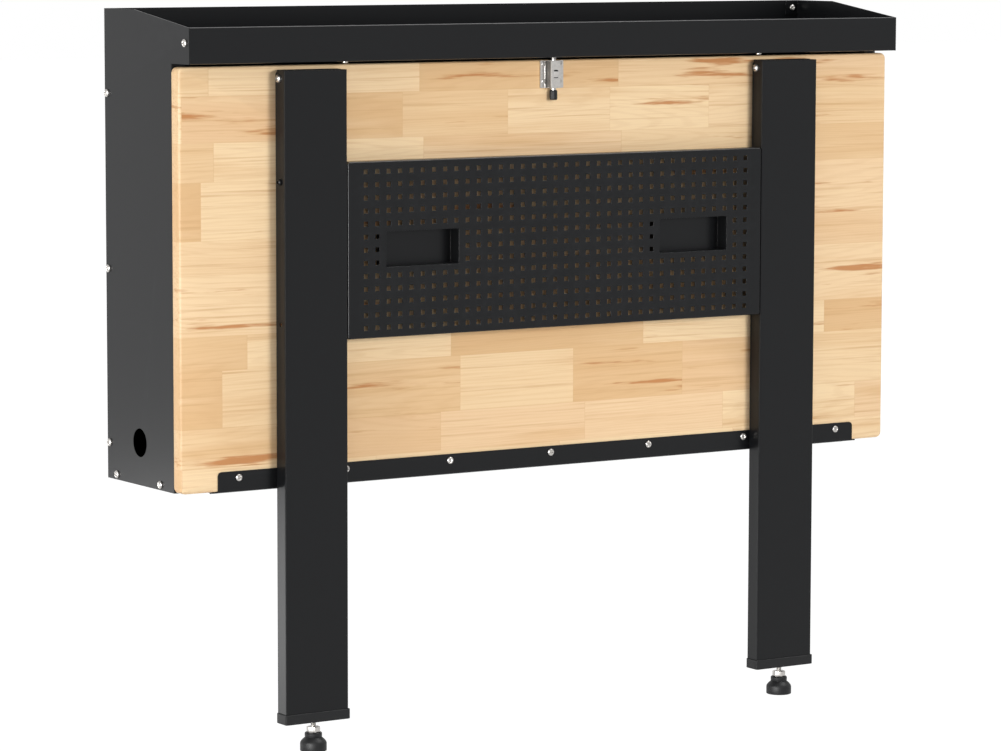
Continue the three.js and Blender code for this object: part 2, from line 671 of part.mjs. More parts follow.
function latchHousing() {
  const half = LATCH_BOX_WIDTH / 2;
  const base = boardFace - SEAT;
  const face = boardFace - LATCH_BOX_DEPTH;
  const foot = base - LATCH_SHEET;
  const inner = half - LATCH_SHEET;
  const hat = foldedSection(
    [[-half, base], [-half, face], [half, face], [half, base]], LATCH_SHEET, LATCH_BEND,
  );
  const flange = rectangle(inner + LATCH_SHEET / 2, foot, half + LATCH_FLANGE, base);
  const flangeTwin = rectangle(-half - LATCH_FLANGE, foot, -inner - LATCH_SHEET / 2, base);
  const guide = rectangle(-inner - SEAT, face + LATCH_SHEET / 2, inner + SEAT, base);
  const window = new THREE.Shape();
  window.absarc(0, (latchTop + latchBottom) / 2, LATCH_TAB_RADIUS, -Math.PI / 2, Math.PI / 2);
  window.closePath();
  return build([
    upward(hat, latchBottom, LATCH_HEIGHT),
    upward(flange, latchBottom, LATCH_HEIGHT),
    upward(flangeTwin, latchBottom, LATCH_HEIGHT),
    upward(guide, latchBottom, LATCH_SHEET),
    upward(guide, latchTop - LATCH_SHEET, LATCH_SHEET),
  ], [
    upward(circle(0, latchY, BOLT_RADIUS + SHANK_FIT), latchTop - 2 * LATCH_SHEET, 3 * LATCH_SHEET),
    upward(circle(0, latchY, STEM_RADIUS + SHANK_FIT), latchBottom - LATCH_SHEET, 3 * LATCH_SHEET),
    forward(window, face + 2 * LATCH_SHEET, 3 * LATCH_SHEET),
  ]);
}

addPiece(worktop, 'latch_housing', latchHousing(), ZINC);

const latch = addGroup();
latch.position.set(0, latchY, 0);
const nutTop = latchBottom - SEAT;
const nutBottom = nutTop - STEM_NUT_HEIGHT;
const knobTop = nutBottom - SEAT;
const stemBottom = knobTop - KNOB_SOCKET + SEAT;

// Adds a turned latch piece that stands upright on the bolt's axis.
function addUpright(name, profile, finish) {
  addPiece(latch, name, turned(profile), finish).rotation.x = Math.PI / 2;
}

addUpright('latch_bolt', [
  [0, stemBottom], [STEM_RADIUS, stemBottom], [STEM_RADIUS, collarTop - COLLAR_HEIGHT],
  [collarRadius, collarTop - COLLAR_HEIGHT], [collarRadius, collarTop], [BOLT_RADIUS, collarTop],
  [BOLT_RADIUS, boltTip - BOLT_CHAMFER], [BOLT_RADIUS - BOLT_CHAMFER, boltTip], [0, boltTip],
], ZINC);
const nutBore = STEM_RADIUS + SHANK_FIT;
addUpright('latch_nut', [
  [nutBore, nutBottom], [STEM_NUT_RADIUS, nutBottom], [STEM_NUT_RADIUS, nutTop], [nutBore, nutTop],
  [nutBore, nutBottom],
], ZINC);
const knobEase = 0.15 * KNOB_RADIUS;
addUpright('latch_knob', [
  [0, knobTop - KNOB_HEIGHT], [KNOB_RADIUS - knobEase, knobTop - KNOB_HEIGHT],
  [KNOB_RADIUS, knobTop - KNOB_HEIGHT + knobEase], [KNOB_RADIUS - knobEase / 2, knobTop],
  [nutBore, knobTop], [nutBore, knobTop - KNOB_SOCKET], [0, knobTop - KNOB_SOCKET],
], BLACK_PLASTIC);

// The spring stands between the housing's lower guide and the bolt's collar.
class Helix extends THREE.Curve {
  constructor(radius, start, height, turns) {
    super();
    Object.assign(this, { radius, start, height, turns });
  }

  getPoint(t, target = new THREE.Vector3()) {
    const angle = 2 * Math.PI * this.turns * t;
    const z = this.start + this.height * t;
    return target.set(this.radius * Math.cos(angle), this.radius * Math.sin(angle), z);
  }
}

function latchSpring() {
  const wireRadius = SPRING_WIRE / 2;
  const coilRadius = nutBore + wireRadius + SEAT;
  const start = bottomTabTop + SEAT + SPRING_WIRE;
  const height = collarTop - COLLAR_HEIGHT - SEAT - SPRING_WIRE - start;
  const path = new Helix(coilRadius, start, height, SPRING_TURNS);
  console.log(`latch_spring: least gap ${(height / SPRING_TURNS - SPRING_WIRE).toFixed(2)} mm between turns`);
  return new THREE.ExtrudeGeometry(circle(0, 0, wireRadius, 5), {
    steps: 8 * SPRING_TURNS, bevelEnabled: false, extrudePath: path,
  });
}

addPiece(latch, 'latch_spring', latchSpring(), ZINC);

// Leg frame
const legFrame = addGroup();
const panelBoltHole = PANEL_BOLT.shank + SHANK_FIT;
const panelBoltHeights = [panelZ - PANEL_BOLT_SPREAD, panelZ + PANEL_BOLT_SPREAD];

// The leg is a channel that is open to the board. Its upper back corner is round about the pivot.
function leg() {
  const half = LEG_WIDTH / 2;
  const section = foldedSection(
    [[-half, legBack], [-half, legFront], [half, legFront], [half, legBack]], LEG_SHEET, LEG_BEND,
  );
  const profile = new THREE.Shape();
  const backAngle = Math.acos((legBack - pivotY) / pivotRise);
  profile.moveTo(legBack, legBottom);
  profile.lineTo(legBack, pivotZ + pivotRise * Math.sin(backAngle));
  profile.absarc(pivotY, pivotZ, pivotRise, backAngle, Math.PI / 2);
  profile.lineTo(legFront, legTop);
  profile.lineTo(legFront, legBottom);
  profile.closePath();
  const channel = common(upward(section, legBottom, LEG_LENGTH), alongX(profile, -LEG_WIDTH, 2 * LEG_WIDTH));
  return build([channel], [
    barAlongX(pivotHole, -LEG_WIDTH, LEG_WIDTH, pivotY, pivotZ),
    ...panelBoltHeights.map(
      (z) => barAlongX(panelBoltHole, -LEG_WIDTH, LEG_WIDTH, panelBoltY, z, SCREW_SIDES),
    ),
  ]);
}

// The end cap fits round the leg, and its boss holds the foot's stud.
function legCap() {
  const grow = SEAT + CAP_WALL;
  const middle = (legFront + legBack) / 2;
  const outer = roundedRectangle(0, middle, LEG_WIDTH + 2 * grow, LEG_DEPTH + 2 * grow, CAP_CORNER);
  const rim = roundedRectangle(0, middle, LEG_WIDTH + 2 * grow, LEG_DEPTH + 2 * grow, CAP_CORNER);
  rim.holes.push(rectangle(-LEG_WIDTH / 2 - SEAT, legFront - SEAT, LEG_WIDTH / 2 + SEAT, legBack + SEAT));
  return build([
    upward(outer, capBottom, CAP_FLOOR),
    upward(rim, capBottom, CAP_HEIGHT),
    upward(circle(0, channelMiddleY, bossRadius, FOOT_SIDES), capBottom, BOSS_HEIGHT),
  ], [
    upward(circle(0, channelMiddleY, STUD_RADIUS + SHANK_FIT), capBottom - CAP_FLOOR, 2 * BOSS_HEIGHT),
  ]);
}

for (const [side, sign] of Object.entries(sides)) {
  const x = sign * legSpacing / 2;
  const half = LEG_WIDTH / 2;
  const [outside, inside] = sign < 0 ? ['left', 'right'] : ['right', 'left'];
  addPiece(legFrame, `${side}_leg`, leg(), BLACK_COAT).position.x = x;
  addPiece(legFrame, `${side}_leg_cap`, legCap(), BLACK_PLASTIC).position.x = x;
  const outer = x + sign * (half + SEAT);
  const inner = x - sign * (half + SEAT);
  addFastener(legFrame, `${side}_outer_pivot_bolt`, PIVOT_BOLT, outside, [outer, pivotY, pivotZ]);
  addFastener(legFrame, `${side}_inner_pivot_bolt`, PIVOT_BOLT, inside, [inner, pivotY, pivotZ]);
  const upperHole = [outer, panelBoltY, panelBoltHeights[1]];
  addFastener(legFrame, `${side}_leg_screw`, LEG_SCREW, outside, upperHole, BLACK_SCREW);
  panelBoltHeights.forEach((z, i) => {
    const seat = x - sign * (channelHalfWidth - SEAT);
    addFastener(legFrame, `${side}_panel_bolt_${i + 1}`, PANEL_BOLT, outside, [seat, panelBoltY, z]);
  });
}

// Centres of a row of holes that fills a length, less a margin at both ends.
function pegRow(length, margin, pitch) {
  const gaps = Math.floor((length - 2 * margin) / pitch);
  return Array.from({ length: gaps + 1 }, (_, i) => (i - gaps / 2) * pitch);
}

// The perforated panel is a shallow pan, bolted between the legs by its side flanges. Its sheet lies in
// (x, y) with the front at z = 0, and is then turned to face the front.
function perforatedPanel() {
  const half = PEG_HOLE / 2;
  const land = POCKET_RIM + PANEL_SHEET;
  const clearOfPockets = (x, y) => Math.abs(y) > POCKET_HEIGHT / 2 + land + half
    || Math.abs(Math.abs(x) - pocketOffset) > POCKET_WIDTH / 2 + land + half;
  const holes = [];
  for (const x of pegRow(panelWidth, PEG_MARGIN_X, PEG_PITCH_X)) {
    for (const y of pegRow(PANEL_HEIGHT, PEG_MARGIN_Z, PEG_PITCH_Z)) {
      if (clearOfPockets(x, y)) holes.push(rectangle(x - half, y - half, x + half, y + half));
    }
  }
  for (const x of [-pocketOffset, pocketOffset]) {
    holes.push(roundedRectangle(x, 0, POCKET_WIDTH, POCKET_HEIGHT, POCKET_CORNER));
  }
  const flange = { rise: LEG_DEPTH - PANEL_FLANGE_SETBACK };
  const pieces = flangedSheet({
    x0: -panelWidth / 2, x1: panelWidth / 2, y0: -PANEL_HEIGHT / 2, y1: PANEL_HEIGHT / 2,
    sheet: PANEL_SHEET, bend: PANEL_BEND,
    flanges: { left: flange, right: flange, front: flange, back: flange },
  });
  const punch = mergeGeometries(holes.map((hole) => upward(hole, -PANEL_SHEET, 3 * PANEL_SHEET)));
  const boltDepth = panelBoltY - legFront;
  const boltHoles = [-PANEL_BOLT_SPREAD, PANEL_BOLT_SPREAD].map(
    (y) => barAlongX(panelBoltHole, -panelWidth, panelWidth, y, boltDepth, SCREW_SIDES),
  );
  return build(pieces, [punch, ...boltHoles]).rotateX(-Math.PI / 2);
}

addPiece(legFrame, 'perforated_panel', perforatedPanel(), BLACK_COAT).position.set(0, legFront, panelZ);

// The hand pocket is a shallow box behind the panel, with a rim against the panel's back.
function gripPocket() {
  const rimBack = PANEL_SHEET + SEAT;
  const outerSize = [POCKET_WIDTH + 2 * PANEL_SHEET, POCKET_HEIGHT + 2 * PANEL_SHEET];
  const rimSize = [POCKET_WIDTH + 2 * POCKET_RIM, POCKET_HEIGHT + 2 * POCKET_RIM];
  const opening = () => roundedRectangle(0, 0, POCKET_WIDTH, POCKET_HEIGHT, POCKET_CORNER);
  const outerCorner = POCKET_CORNER + PANEL_SHEET;
  const rim = roundedRectangle(0, 0, ...rimSize, outerCorner);
  const wall = roundedRectangle(0, 0, ...outerSize, outerCorner);
  const floor = roundedRectangle(0, 0, ...outerSize, outerCorner);
  rim.holes.push(opening());
  wall.holes.push(opening());
  return build([
    upward(rim, rimBack, PANEL_SHEET),
    upward(wall, rimBack, LEG_DEPTH - rimBack),
    upward(floor, LEG_DEPTH - PANEL_SHEET, PANEL_SHEET),
  ]).rotateX(-Math.PI / 2);
}

for (const [side, sign] of Object.entries(sides)) {
  const pocket = addPiece(legFrame, `${side}_grip_pocket`, gripPocket(), BLACK_COAT);
  pocket.position.set(sign * pocketOffset, legFront, panelZ);
}

// Levelling feet: a pad with a socket, and a stud with a hexagon that screws into the cap's boss.
function footPad() {
  const ease = 0.8;
  const socket = STUD_RADIUS + SHANK_FIT;
  return turned([
    [0, padBottom], [PAD_RADIUS - ease, padBottom], [PAD_RADIUS, padBottom + ease],
    [PAD_RADIUS, padBottom + PAD_BASE_HEIGHT], [PAD_NECK_RADIUS, padTop],
    [socket, padTop], [socket, padTop - PAD_SOCKET_DEPTH], [0, padTop - PAD_SOCKET_DEPTH],
  ], FOOT_SIDES).rotateX(Math.PI / 2);
}

function footStud() {
  const foot = padTop - PAD_SOCKET_DEPTH + SEAT;
  const corner = HEXAGON_FLATS / Math.sqrt(3);
  return build([
    upward(circle(0, 0, STUD_RADIUS, ROUND_SIDES), foot, capBottom + STUD_INSIDE - foot),
    upward(circle(0, 0, corner, 6), hexagonTop - HEXAGON_HEIGHT, HEXAGON_HEIGHT),
  ]);
}

for (const [side, sign] of Object.entries(sides)) {
  const foot = addGroup();
  foot.position.set(sign * legSpacing / 2, channelMiddleY, 0);
  addPiece(foot, `${side}_foot_pad`, footPad(), BLACK_PLASTIC);
  addPiece(foot, `${side}_foot_stud`, footStud(), ZINC);
}

export default bench;
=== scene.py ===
"""Looks of a wall mounted folding workbench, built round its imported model.

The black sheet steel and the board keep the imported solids, and the steel gets eased edges. Screws, feet,
the latch's bolt, spring, nut and knob, and the perforated panel are modelled again in finer detail.
Lengths are in metres.
"""

import json
import logging
import math
from dataclasses import dataclass
from enum import Enum
from typing import Callable, Iterable, Optional, Sequence, Union

import bmesh
import bpy
from mathutils import Matrix, Vector

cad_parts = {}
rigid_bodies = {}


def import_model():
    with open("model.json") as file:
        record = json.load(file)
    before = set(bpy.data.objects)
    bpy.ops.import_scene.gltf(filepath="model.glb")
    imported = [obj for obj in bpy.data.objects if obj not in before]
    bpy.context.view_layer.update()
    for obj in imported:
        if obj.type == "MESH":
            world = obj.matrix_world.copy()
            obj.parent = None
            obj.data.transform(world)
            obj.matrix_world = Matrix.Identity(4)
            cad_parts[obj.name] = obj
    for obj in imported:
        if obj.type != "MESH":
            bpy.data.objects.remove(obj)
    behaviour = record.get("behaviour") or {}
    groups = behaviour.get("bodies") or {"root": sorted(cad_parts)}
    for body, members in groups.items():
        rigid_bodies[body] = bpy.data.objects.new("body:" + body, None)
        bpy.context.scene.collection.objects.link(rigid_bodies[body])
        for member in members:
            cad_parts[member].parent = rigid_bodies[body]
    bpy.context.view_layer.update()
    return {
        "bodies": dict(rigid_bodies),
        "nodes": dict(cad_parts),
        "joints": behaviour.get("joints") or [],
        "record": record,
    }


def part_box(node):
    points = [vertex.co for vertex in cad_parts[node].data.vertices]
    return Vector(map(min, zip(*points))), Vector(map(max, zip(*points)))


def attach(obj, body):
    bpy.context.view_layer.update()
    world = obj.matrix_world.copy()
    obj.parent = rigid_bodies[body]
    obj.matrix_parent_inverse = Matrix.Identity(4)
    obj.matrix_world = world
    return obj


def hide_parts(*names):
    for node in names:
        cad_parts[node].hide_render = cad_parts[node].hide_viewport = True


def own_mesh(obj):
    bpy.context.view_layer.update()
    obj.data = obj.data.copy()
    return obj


LOG = logging.getLogger("folding_workbench")
MM = 0.001
Node = bpy.types.Node
Socket = bpy.types.NodeSocket
Form = bmesh.types.BMesh
SocketOrValue = Union[Socket, float, int, tuple]
Colour = tuple[float, float, float, float]
Pair = tuple[float, float]
Triple = tuple[float, float, float]
Band = tuple[float, float, float, float]  # low, high, start and end of a ramp
Profile = Sequence[Pair]
Wave = Callable[[float, float], float]
WHITE: Colour = (1.0, 1.0, 1.0, 1.0)


class Facing(Enum):
    """The way that a fastener's head or a turned piece's top faces."""

    LEFT = (-1.0, 0.0, 0.0)
    RIGHT = (1.0, 0.0, 0.0)
    FRONT = (0.0, -1.0, 0.0)
    DOWN = (0.0, 0.0, -1.0)

    @property
    def vector(self) -> Vector:
        """Unit vector of the direction."""
        return Vector(self.value)

    def turn(self) -> Matrix:
        """Rotation that takes +Z to this direction."""
        return self.vector.to_track_quat("Z", "Y").to_matrix().to_4x4()


class Drive(Enum):
    """The recess in a fastener's head."""

    CROSS = "cross"
    SOCKET = "socket"


class Rays(Enum):
    """What a lamp acts on: diffuse and glossy light."""

    ALL = (True, True)
    DIFFUSE = (True, False)
    GLOSSY = (False, True)


class Slot(Enum):
    """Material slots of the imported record."""

    COAT = "black_coat"
    WOOD = "wood"
    ZINC = "zinc"
    PLASTIC = "black_plastic"
    OXIDE = "black_screw"


class NodeSheet:
    """A node tree with short calls that add and join nodes."""

    def __init__(self, tree: bpy.types.NodeTree) -> None:
        """Keeps the tree.

        Args:
            tree: Node tree to fill.
        """
        self.tree = tree

    def add(self, kind: str, inputs: Optional[dict] = None, **settings: object) -> Node:
        """Adds a node.

        Args:
            kind: Node type name.
            inputs: Values or sockets for its inputs, by name or index.
            **settings: Properties of the node.

        Returns:
            The new node.
        """
        node = self.tree.nodes.new(kind)
        for name, value in settings.items():
            setattr(node, name, value)
        for name, value in (inputs or {}).items():
            self.feed(node.inputs[name], value)
        return node

    def feed(self, socket: Socket, value: SocketOrValue) -> None:
        """Links a socket to an input, or sets the input's value.

        Args:
            socket: Input socket.
            value: Output socket or plain value.
        """
        if isinstance(value, Socket):
            self.tree.links.new(value, socket)
        else:
            socket.default_value = value

    def math(self, operation: str, *values: SocketOrValue) -> Socket:
        """Adds a Math node.

        Args:
            operation: Name of the operation.
            *values: Operands, as sockets or numbers.

        Returns:
            Its output.
        """
        return self.add("ShaderNodeMath", dict(enumerate(values)), operation=operation).outputs[0]

    def blend(self, factor: SocketOrValue, first: SocketOrValue, second: SocketOrValue) -> Socket:
        """Mixes two colours.

        Args:
            factor: Share of the second colour.
            first: First colour.
            second: Second colour.

        Returns:
            Mixed colour.
        """
        return self.add("ShaderNodeMix", {0: factor, 6: first, 7: second}, data_type="RGBA").outputs[2]

    def ramp(self, value: SocketOrValue, low: float, high: float,
             start: float = 0.0, end: float = 1.0) -> Socket:
        """Maps a range smoothly to another and clamps it.

        Args:
            value: Input value.
            low: Input that gives start.
            high: Input that gives end.
            start: Output at low.
            end: Output at high.

        Returns:
            Mapped value.
        """
        inputs = {0: value, 1: low, 2: high, 3: start, 4: end}
        return self.add("ShaderNodeMapRange", inputs, interpolation_type="SMOOTHSTEP").outputs[0]

    def scaled(self, vector: Socket, scale: Triple, shift: Optional[Socket] = None) -> Socket:
        """Scales a coordinate and shifts it.

        Args:
            vector: Coordinate.
            scale: Factor along each axis.
            shift: Optional offset.

        Returns:
            Changed coordinate.
        """
        result = self.add("ShaderNodeVectorMath", {0: vector, 1: scale}, operation="MULTIPLY").outputs[0]
        if shift is None:
            return result
        return self.add("ShaderNodeVectorMath", {0: result, 1: shift}, operation="ADD").outputs[0]

    def noise(self, vector: Socket, scale: SocketOrValue, detail: float = 2.0,
              roughness: float = 0.5) -> Socket:
        """Adds noise.

        Args:
            vector: Coordinate.
            scale: Features per unit.
            detail: Number of octaves.
            roughness: Weight of the fine octaves.

        Returns:
            Noise value, about 0 to 1.
        """
        inputs = {"Vector": vector, "Scale": scale, "Detail": detail, "Roughness": roughness}
        return self.add("ShaderNodeTexNoise", inputs).outputs[0]


class EffectGroup:
    """A shader node group that several finishes share, built once."""

    name = "effect"
    inputs: dict[str, tuple[str, object]] = {}
    outputs: dict[str, str] = {}

    def tree(self) -> bpy.types.NodeTree:
        """Finds the group or builds it.

        Returns:
            The group's node tree.
        """
        found = bpy.data.node_groups.get(self.name)
        if found is not None:
            return found
        tree = bpy.data.node_groups.new(self.name, "ShaderNodeTree")
        for label, (kind, default) in self.inputs.items():
            socket = tree.interface.new_socket(label, in_out="INPUT", socket_type=kind)
            socket.default_value = default
        for label, kind in self.outputs.items():
            tree.interface.new_socket(label, in_out="OUTPUT", socket_type=kind)
        sheet = NodeSheet(tree)
        source = sheet.add("NodeGroupInput")
        target = sheet.add("NodeGroupOutput")
        for label, socket in self.fill(sheet, source).items():
            sheet.feed(target.inputs[label], socket)
        return tree

    def fill(self, sheet: NodeSheet, source: Node) -> dict[str, Socket]:
        """Builds the group's nodes.

        Args:
            sheet: The group's tree.
            source: The group's input node.

        Returns:
            Socket for each output.
        """
        raise NotImplementedError

    def place(self, sheet: NodeSheet, **values: SocketOrValue) -> Node:
        """Places the group in a material.

        Args:
            sheet: The material's tree.
            **values: Input values, with _ for a space.

        Returns:
            The group node.
        """
        node = sheet.add("ShaderNodeGroup", node_tree=self.tree())
        for label, value in values.items():
            sheet.feed(node.inputs[label.replace("_", " ")], value)
        return node


class SurfaceGrain(EffectGroup):
    """Fine moulded or sprayed texture with slow changes of tone and gloss."""

    name = "surface_grain"
    inputs = {
        "Grain Scale": ("NodeSocketFloat", 1500.0),
        "Tone Spread": ("NodeSocketFloat", 0.1),
        "Gloss": ("NodeSocketFloat", 0.5),
        "Gloss Spread": ("NodeSocketFloat", 0.1),
    }
    outputs = {"Tone": "NodeSocketFloat", "Roughness": "NodeSocketFloat", "Height": "NodeSocketFloat"}
    cloud_scale = 6.0
    speck_scale = 260.0
    speck_share = 0.6

    def fill(self, sheet: NodeSheet, source: Node) -> dict[str, Socket]:
        """Builds slow clouds for tone and gloss and fine noise for height.

        Args:
            sheet: The group's tree.
            source: The group's input node.

        Returns:
            Socket for each output.
        """
        place = sheet.add("ShaderNodeTexCoord").outputs["Object"]
        cloud = sheet.math("SUBTRACT", sheet.noise(place, self.cloud_scale, 3.0), 0.5)
        speck = sheet.math("SUBTRACT", sheet.noise(place, self.speck_scale, 3.0, 0.6), 0.5)
        mottle = sheet.math("ADD", cloud, sheet.math("MULTIPLY", speck, self.speck_share))
        fine = sheet.noise(place, source.outputs["Grain Scale"])
        tone = sheet.math("MULTIPLY_ADD", mottle, source.outputs["Tone Spread"], 1.0)
        gloss = sheet.math("MULTIPLY_ADD", mottle, source.outputs["Gloss Spread"], source.outputs["Gloss"])
        return {"Tone": tone, "Roughness": gloss, "Height": fine}


class EdgeWear(EffectGroup):
    """Mask of convex edges that handling has rubbed, broken up by noise."""

    name = "edge_wear"
    inputs = {"Amount": ("NodeSocketFloat", 0.5)}
    outputs = {"Mask": "NodeSocketFloat"}
    sharp_range = (0.58, 0.7)
    patch_scale = 45.0
    patch_range = (0.35, 0.7)

    def fill(self, sheet: NodeSheet, source: Node) -> dict[str, Socket]:
        """Builds the mask from the surface's pointiness.

        Args:
            sheet: The group's tree.
            source: The group's input node.

        Returns:
            Socket for each output.
        """
        point = sheet.add("ShaderNodeNewGeometry").outputs["Pointiness"]
        place = sheet.add("ShaderNodeTexCoord").outputs["Object"]
        rubbed = sheet.ramp(point, *self.sharp_range)
        broken = sheet.ramp(sheet.noise(place, self.patch_scale, 4.0, 0.65), *self.patch_range)
        mask = sheet.math("MULTIPLY", sheet.math("MULTIPLY", rubbed, broken), source.outputs["Amount"])
        return {"Mask": mask}


class DustVeil(EffectGroup):
    """Mask of fine dust that has settled on surfaces that face up."""

    name = "dust_veil"
    inputs = {"Amount": ("NodeSocketFloat", 0.2)}
    outputs = {"Mask": "NodeSocketFloat"}
    level_range = (0.5, 1.0)
    patch_scale = 30.0
    patch_range = (0.3, 0.75)

    def fill(self, sheet: NodeSheet, source: Node) -> dict[str, Socket]:
        """Builds the mask from the upward part of the normal.

        Args:
            sheet: The group's tree.
            source: The group's input node.

        Returns:
            Socket for each output.
        """
        normal = sheet.add("ShaderNodeNewGeometry").outputs["Normal"]
        height = sheet.add("ShaderNodeSeparateXYZ", {0: normal}).outputs[2]
        place = sheet.add("ShaderNodeTexCoord").outputs["Object"]
        lying = sheet.ramp(height, *self.level_range)
        patch = sheet.ramp(sheet.noise(place, self.patch_scale, 5.0, 0.7), *self.patch_range)
        mask = sheet.math("MULTIPLY", sheet.math("MULTIPLY", lying, patch), source.outputs["Amount"])
        return {"Mask": mask}


@dataclass(frozen=True)
class Finish:
    """A material of the bench."""

    slot: Slot

    def material(self) -> bpy.types.Material:
        """Finds the material or builds it.

        Returns:
            The material.
        """
        found = bpy.data.materials.get(self.label)
        if found is not None:
            return found
        made = bpy.data.materials.new(self.label)
        made.use_nodes = True
        self.fill(NodeSheet(made.node_tree), made.node_tree.nodes["Principled BSDF"])
        return made

    @property
    def label(self) -> str:
        """Name of the material."""
        return self.slot.value + "_finish"

    def fill(self, sheet: NodeSheet, shader: Node) -> None:
        """Builds the material's nodes.

        Args:
            sheet: The material's tree.
            shader: Its Principled BSDF.
        """
        raise NotImplementedError

    @staticmethod
    def bump(sheet: NodeSheet, shader: Node, height: Socket, strength: float, distance: float) -> None:
        """Adds relief to the shader.

        Args:
            sheet: The material's tree.
            shader: Its Principled BSDF.
            height: Height, about 0 to 1.
            strength: Strength of the relief.
            distance: Depth of the relief.
        """
        node = sheet.add("ShaderNodeBump", {"Strength": strength, "Distance": distance, "Height": height})
        sheet.feed(shader.inputs["Normal"], node.outputs[0])


@dataclass(frozen=True)
class CoatedFinish(Finish):
    """Black coat, plastic or oxide: a dark tone with grain, rubbed edges and a little dust."""

    tone: Colour = (0.0046, 0.0050, 0.0058, 1.0)
    worn: Colour = (0.04, 0.042, 0.046, 1.0)
    dust: Colour = (0.09, 0.088, 0.085, 1.0)
    grain_scale: float = 1400.0
    gloss: float = 0.30
    gloss_spread: float = 0.02
    tone_spread: float = 0.05
    relief: float = 0.12
    relief_depth: float = 0.00012
    specular: float = 0.21
    metallic: float = 0.0
    wear: float = 0.08
    dust_amount: float = 0.08

    def fill(self, sheet: NodeSheet, shader: Node) -> None:
        """Builds the coat from the shared groups.

        Args:
            sheet: The material's tree.
            shader: Its Principled BSDF.
        """
        grain = SurfaceGrain().place(
            sheet, Grain_Scale=self.grain_scale, Tone_Spread=self.tone_spread,
            Gloss=self.gloss, Gloss_Spread=self.gloss_spread,
        )
        worn = EdgeWear().place(sheet, Amount=self.wear).outputs[0]
        dusty = DustVeil().place(sheet, Amount=self.dust_amount).outputs[0]
        toned = sheet.add(
            "ShaderNodeVectorMath", {0: self.tone[:3], "Scale": grain.outputs["Tone"]}, operation="SCALE"
        ).outputs[0]
        rubbed = sheet.blend(worn, toned, self.worn)
        sheet.feed(shader.inputs["Base Color"], sheet.blend(dusty, rubbed, self.dust))
        sheet.feed(shader.inputs["Roughness"], grain.outputs["Roughness"])
        shader.inputs["Specular IOR Level"].default_value = self.specular
        shader.inputs["Metallic"].default_value = self.metallic
        self.bump(sheet, shader, grain.outputs["Height"], self.relief, self.relief_depth)


@dataclass(frozen=True)
class ZincFinish(Finish):
    """Bright zinc plating with a faint spangle and rubbed edges."""

    tone: Colour = (0.52, 0.50, 0.475, 1.0)
    shade: Colour = (0.33, 0.32, 0.31, 1.0)
    bright: Colour = (0.8, 0.8, 0.8, 1.0)
    gloss: float = 0.3
    gloss_spread: float = 0.3
    grain_scale: float = 2600.0
    spangle_scale: float = 420.0
    spangle_share: float = 0.4
    wear: float = 0.6
    metallic: float = 0.9
    relief: float = 0.08
    relief_depth: float = 0.00008

    def fill(self, sheet: NodeSheet, shader: Node) -> None:
        """Builds the plating.

        Args:
            sheet: The material's tree.
            shader: Its Principled BSDF.
        """
        place = sheet.add("ShaderNodeTexCoord").outputs["Object"]
        cells = sheet.add("ShaderNodeTexVoronoi", {"Vector": place, "Scale": self.spangle_scale})
        spangle = sheet.add("ShaderNodeSeparateColor", {0: cells.outputs["Color"]}).outputs[0]
        grain = SurfaceGrain().place(
            sheet, Grain_Scale=self.grain_scale, Gloss=self.gloss, Gloss_Spread=self.gloss_spread
        )
        worn = EdgeWear().place(sheet, Amount=self.wear).outputs[0]
        base = sheet.blend(sheet.math("MULTIPLY", spangle, self.spangle_share), self.tone, self.shade)
        sheet.feed(shader.inputs["Base Color"], sheet.blend(worn, base, self.bright))
        sheet.feed(shader.inputs["Roughness"], grain.outputs["Roughness"])
        shader.inputs["Metallic"].default_value = self.metallic
        self.bump(sheet, shader, grain.outputs["Height"], self.relief, self.relief_depth)


@dataclass(frozen=True)
class PaintedShadeZinc(ZincFinish):
    """Zinc darkened as painted shade, for the latch's shaded corner and the brackets in the shade behind the
    legs.
    """

    tone: Colour = (0.13, 0.122, 0.112, 1.0)
    shade: Colour = (0.08, 0.076, 0.07, 1.0)
    gloss: float = 0.6
    name: str = "painted_shade_zinc_finish"

    @property
    def label(self) -> str:
        """Name of the material."""
        return self.name


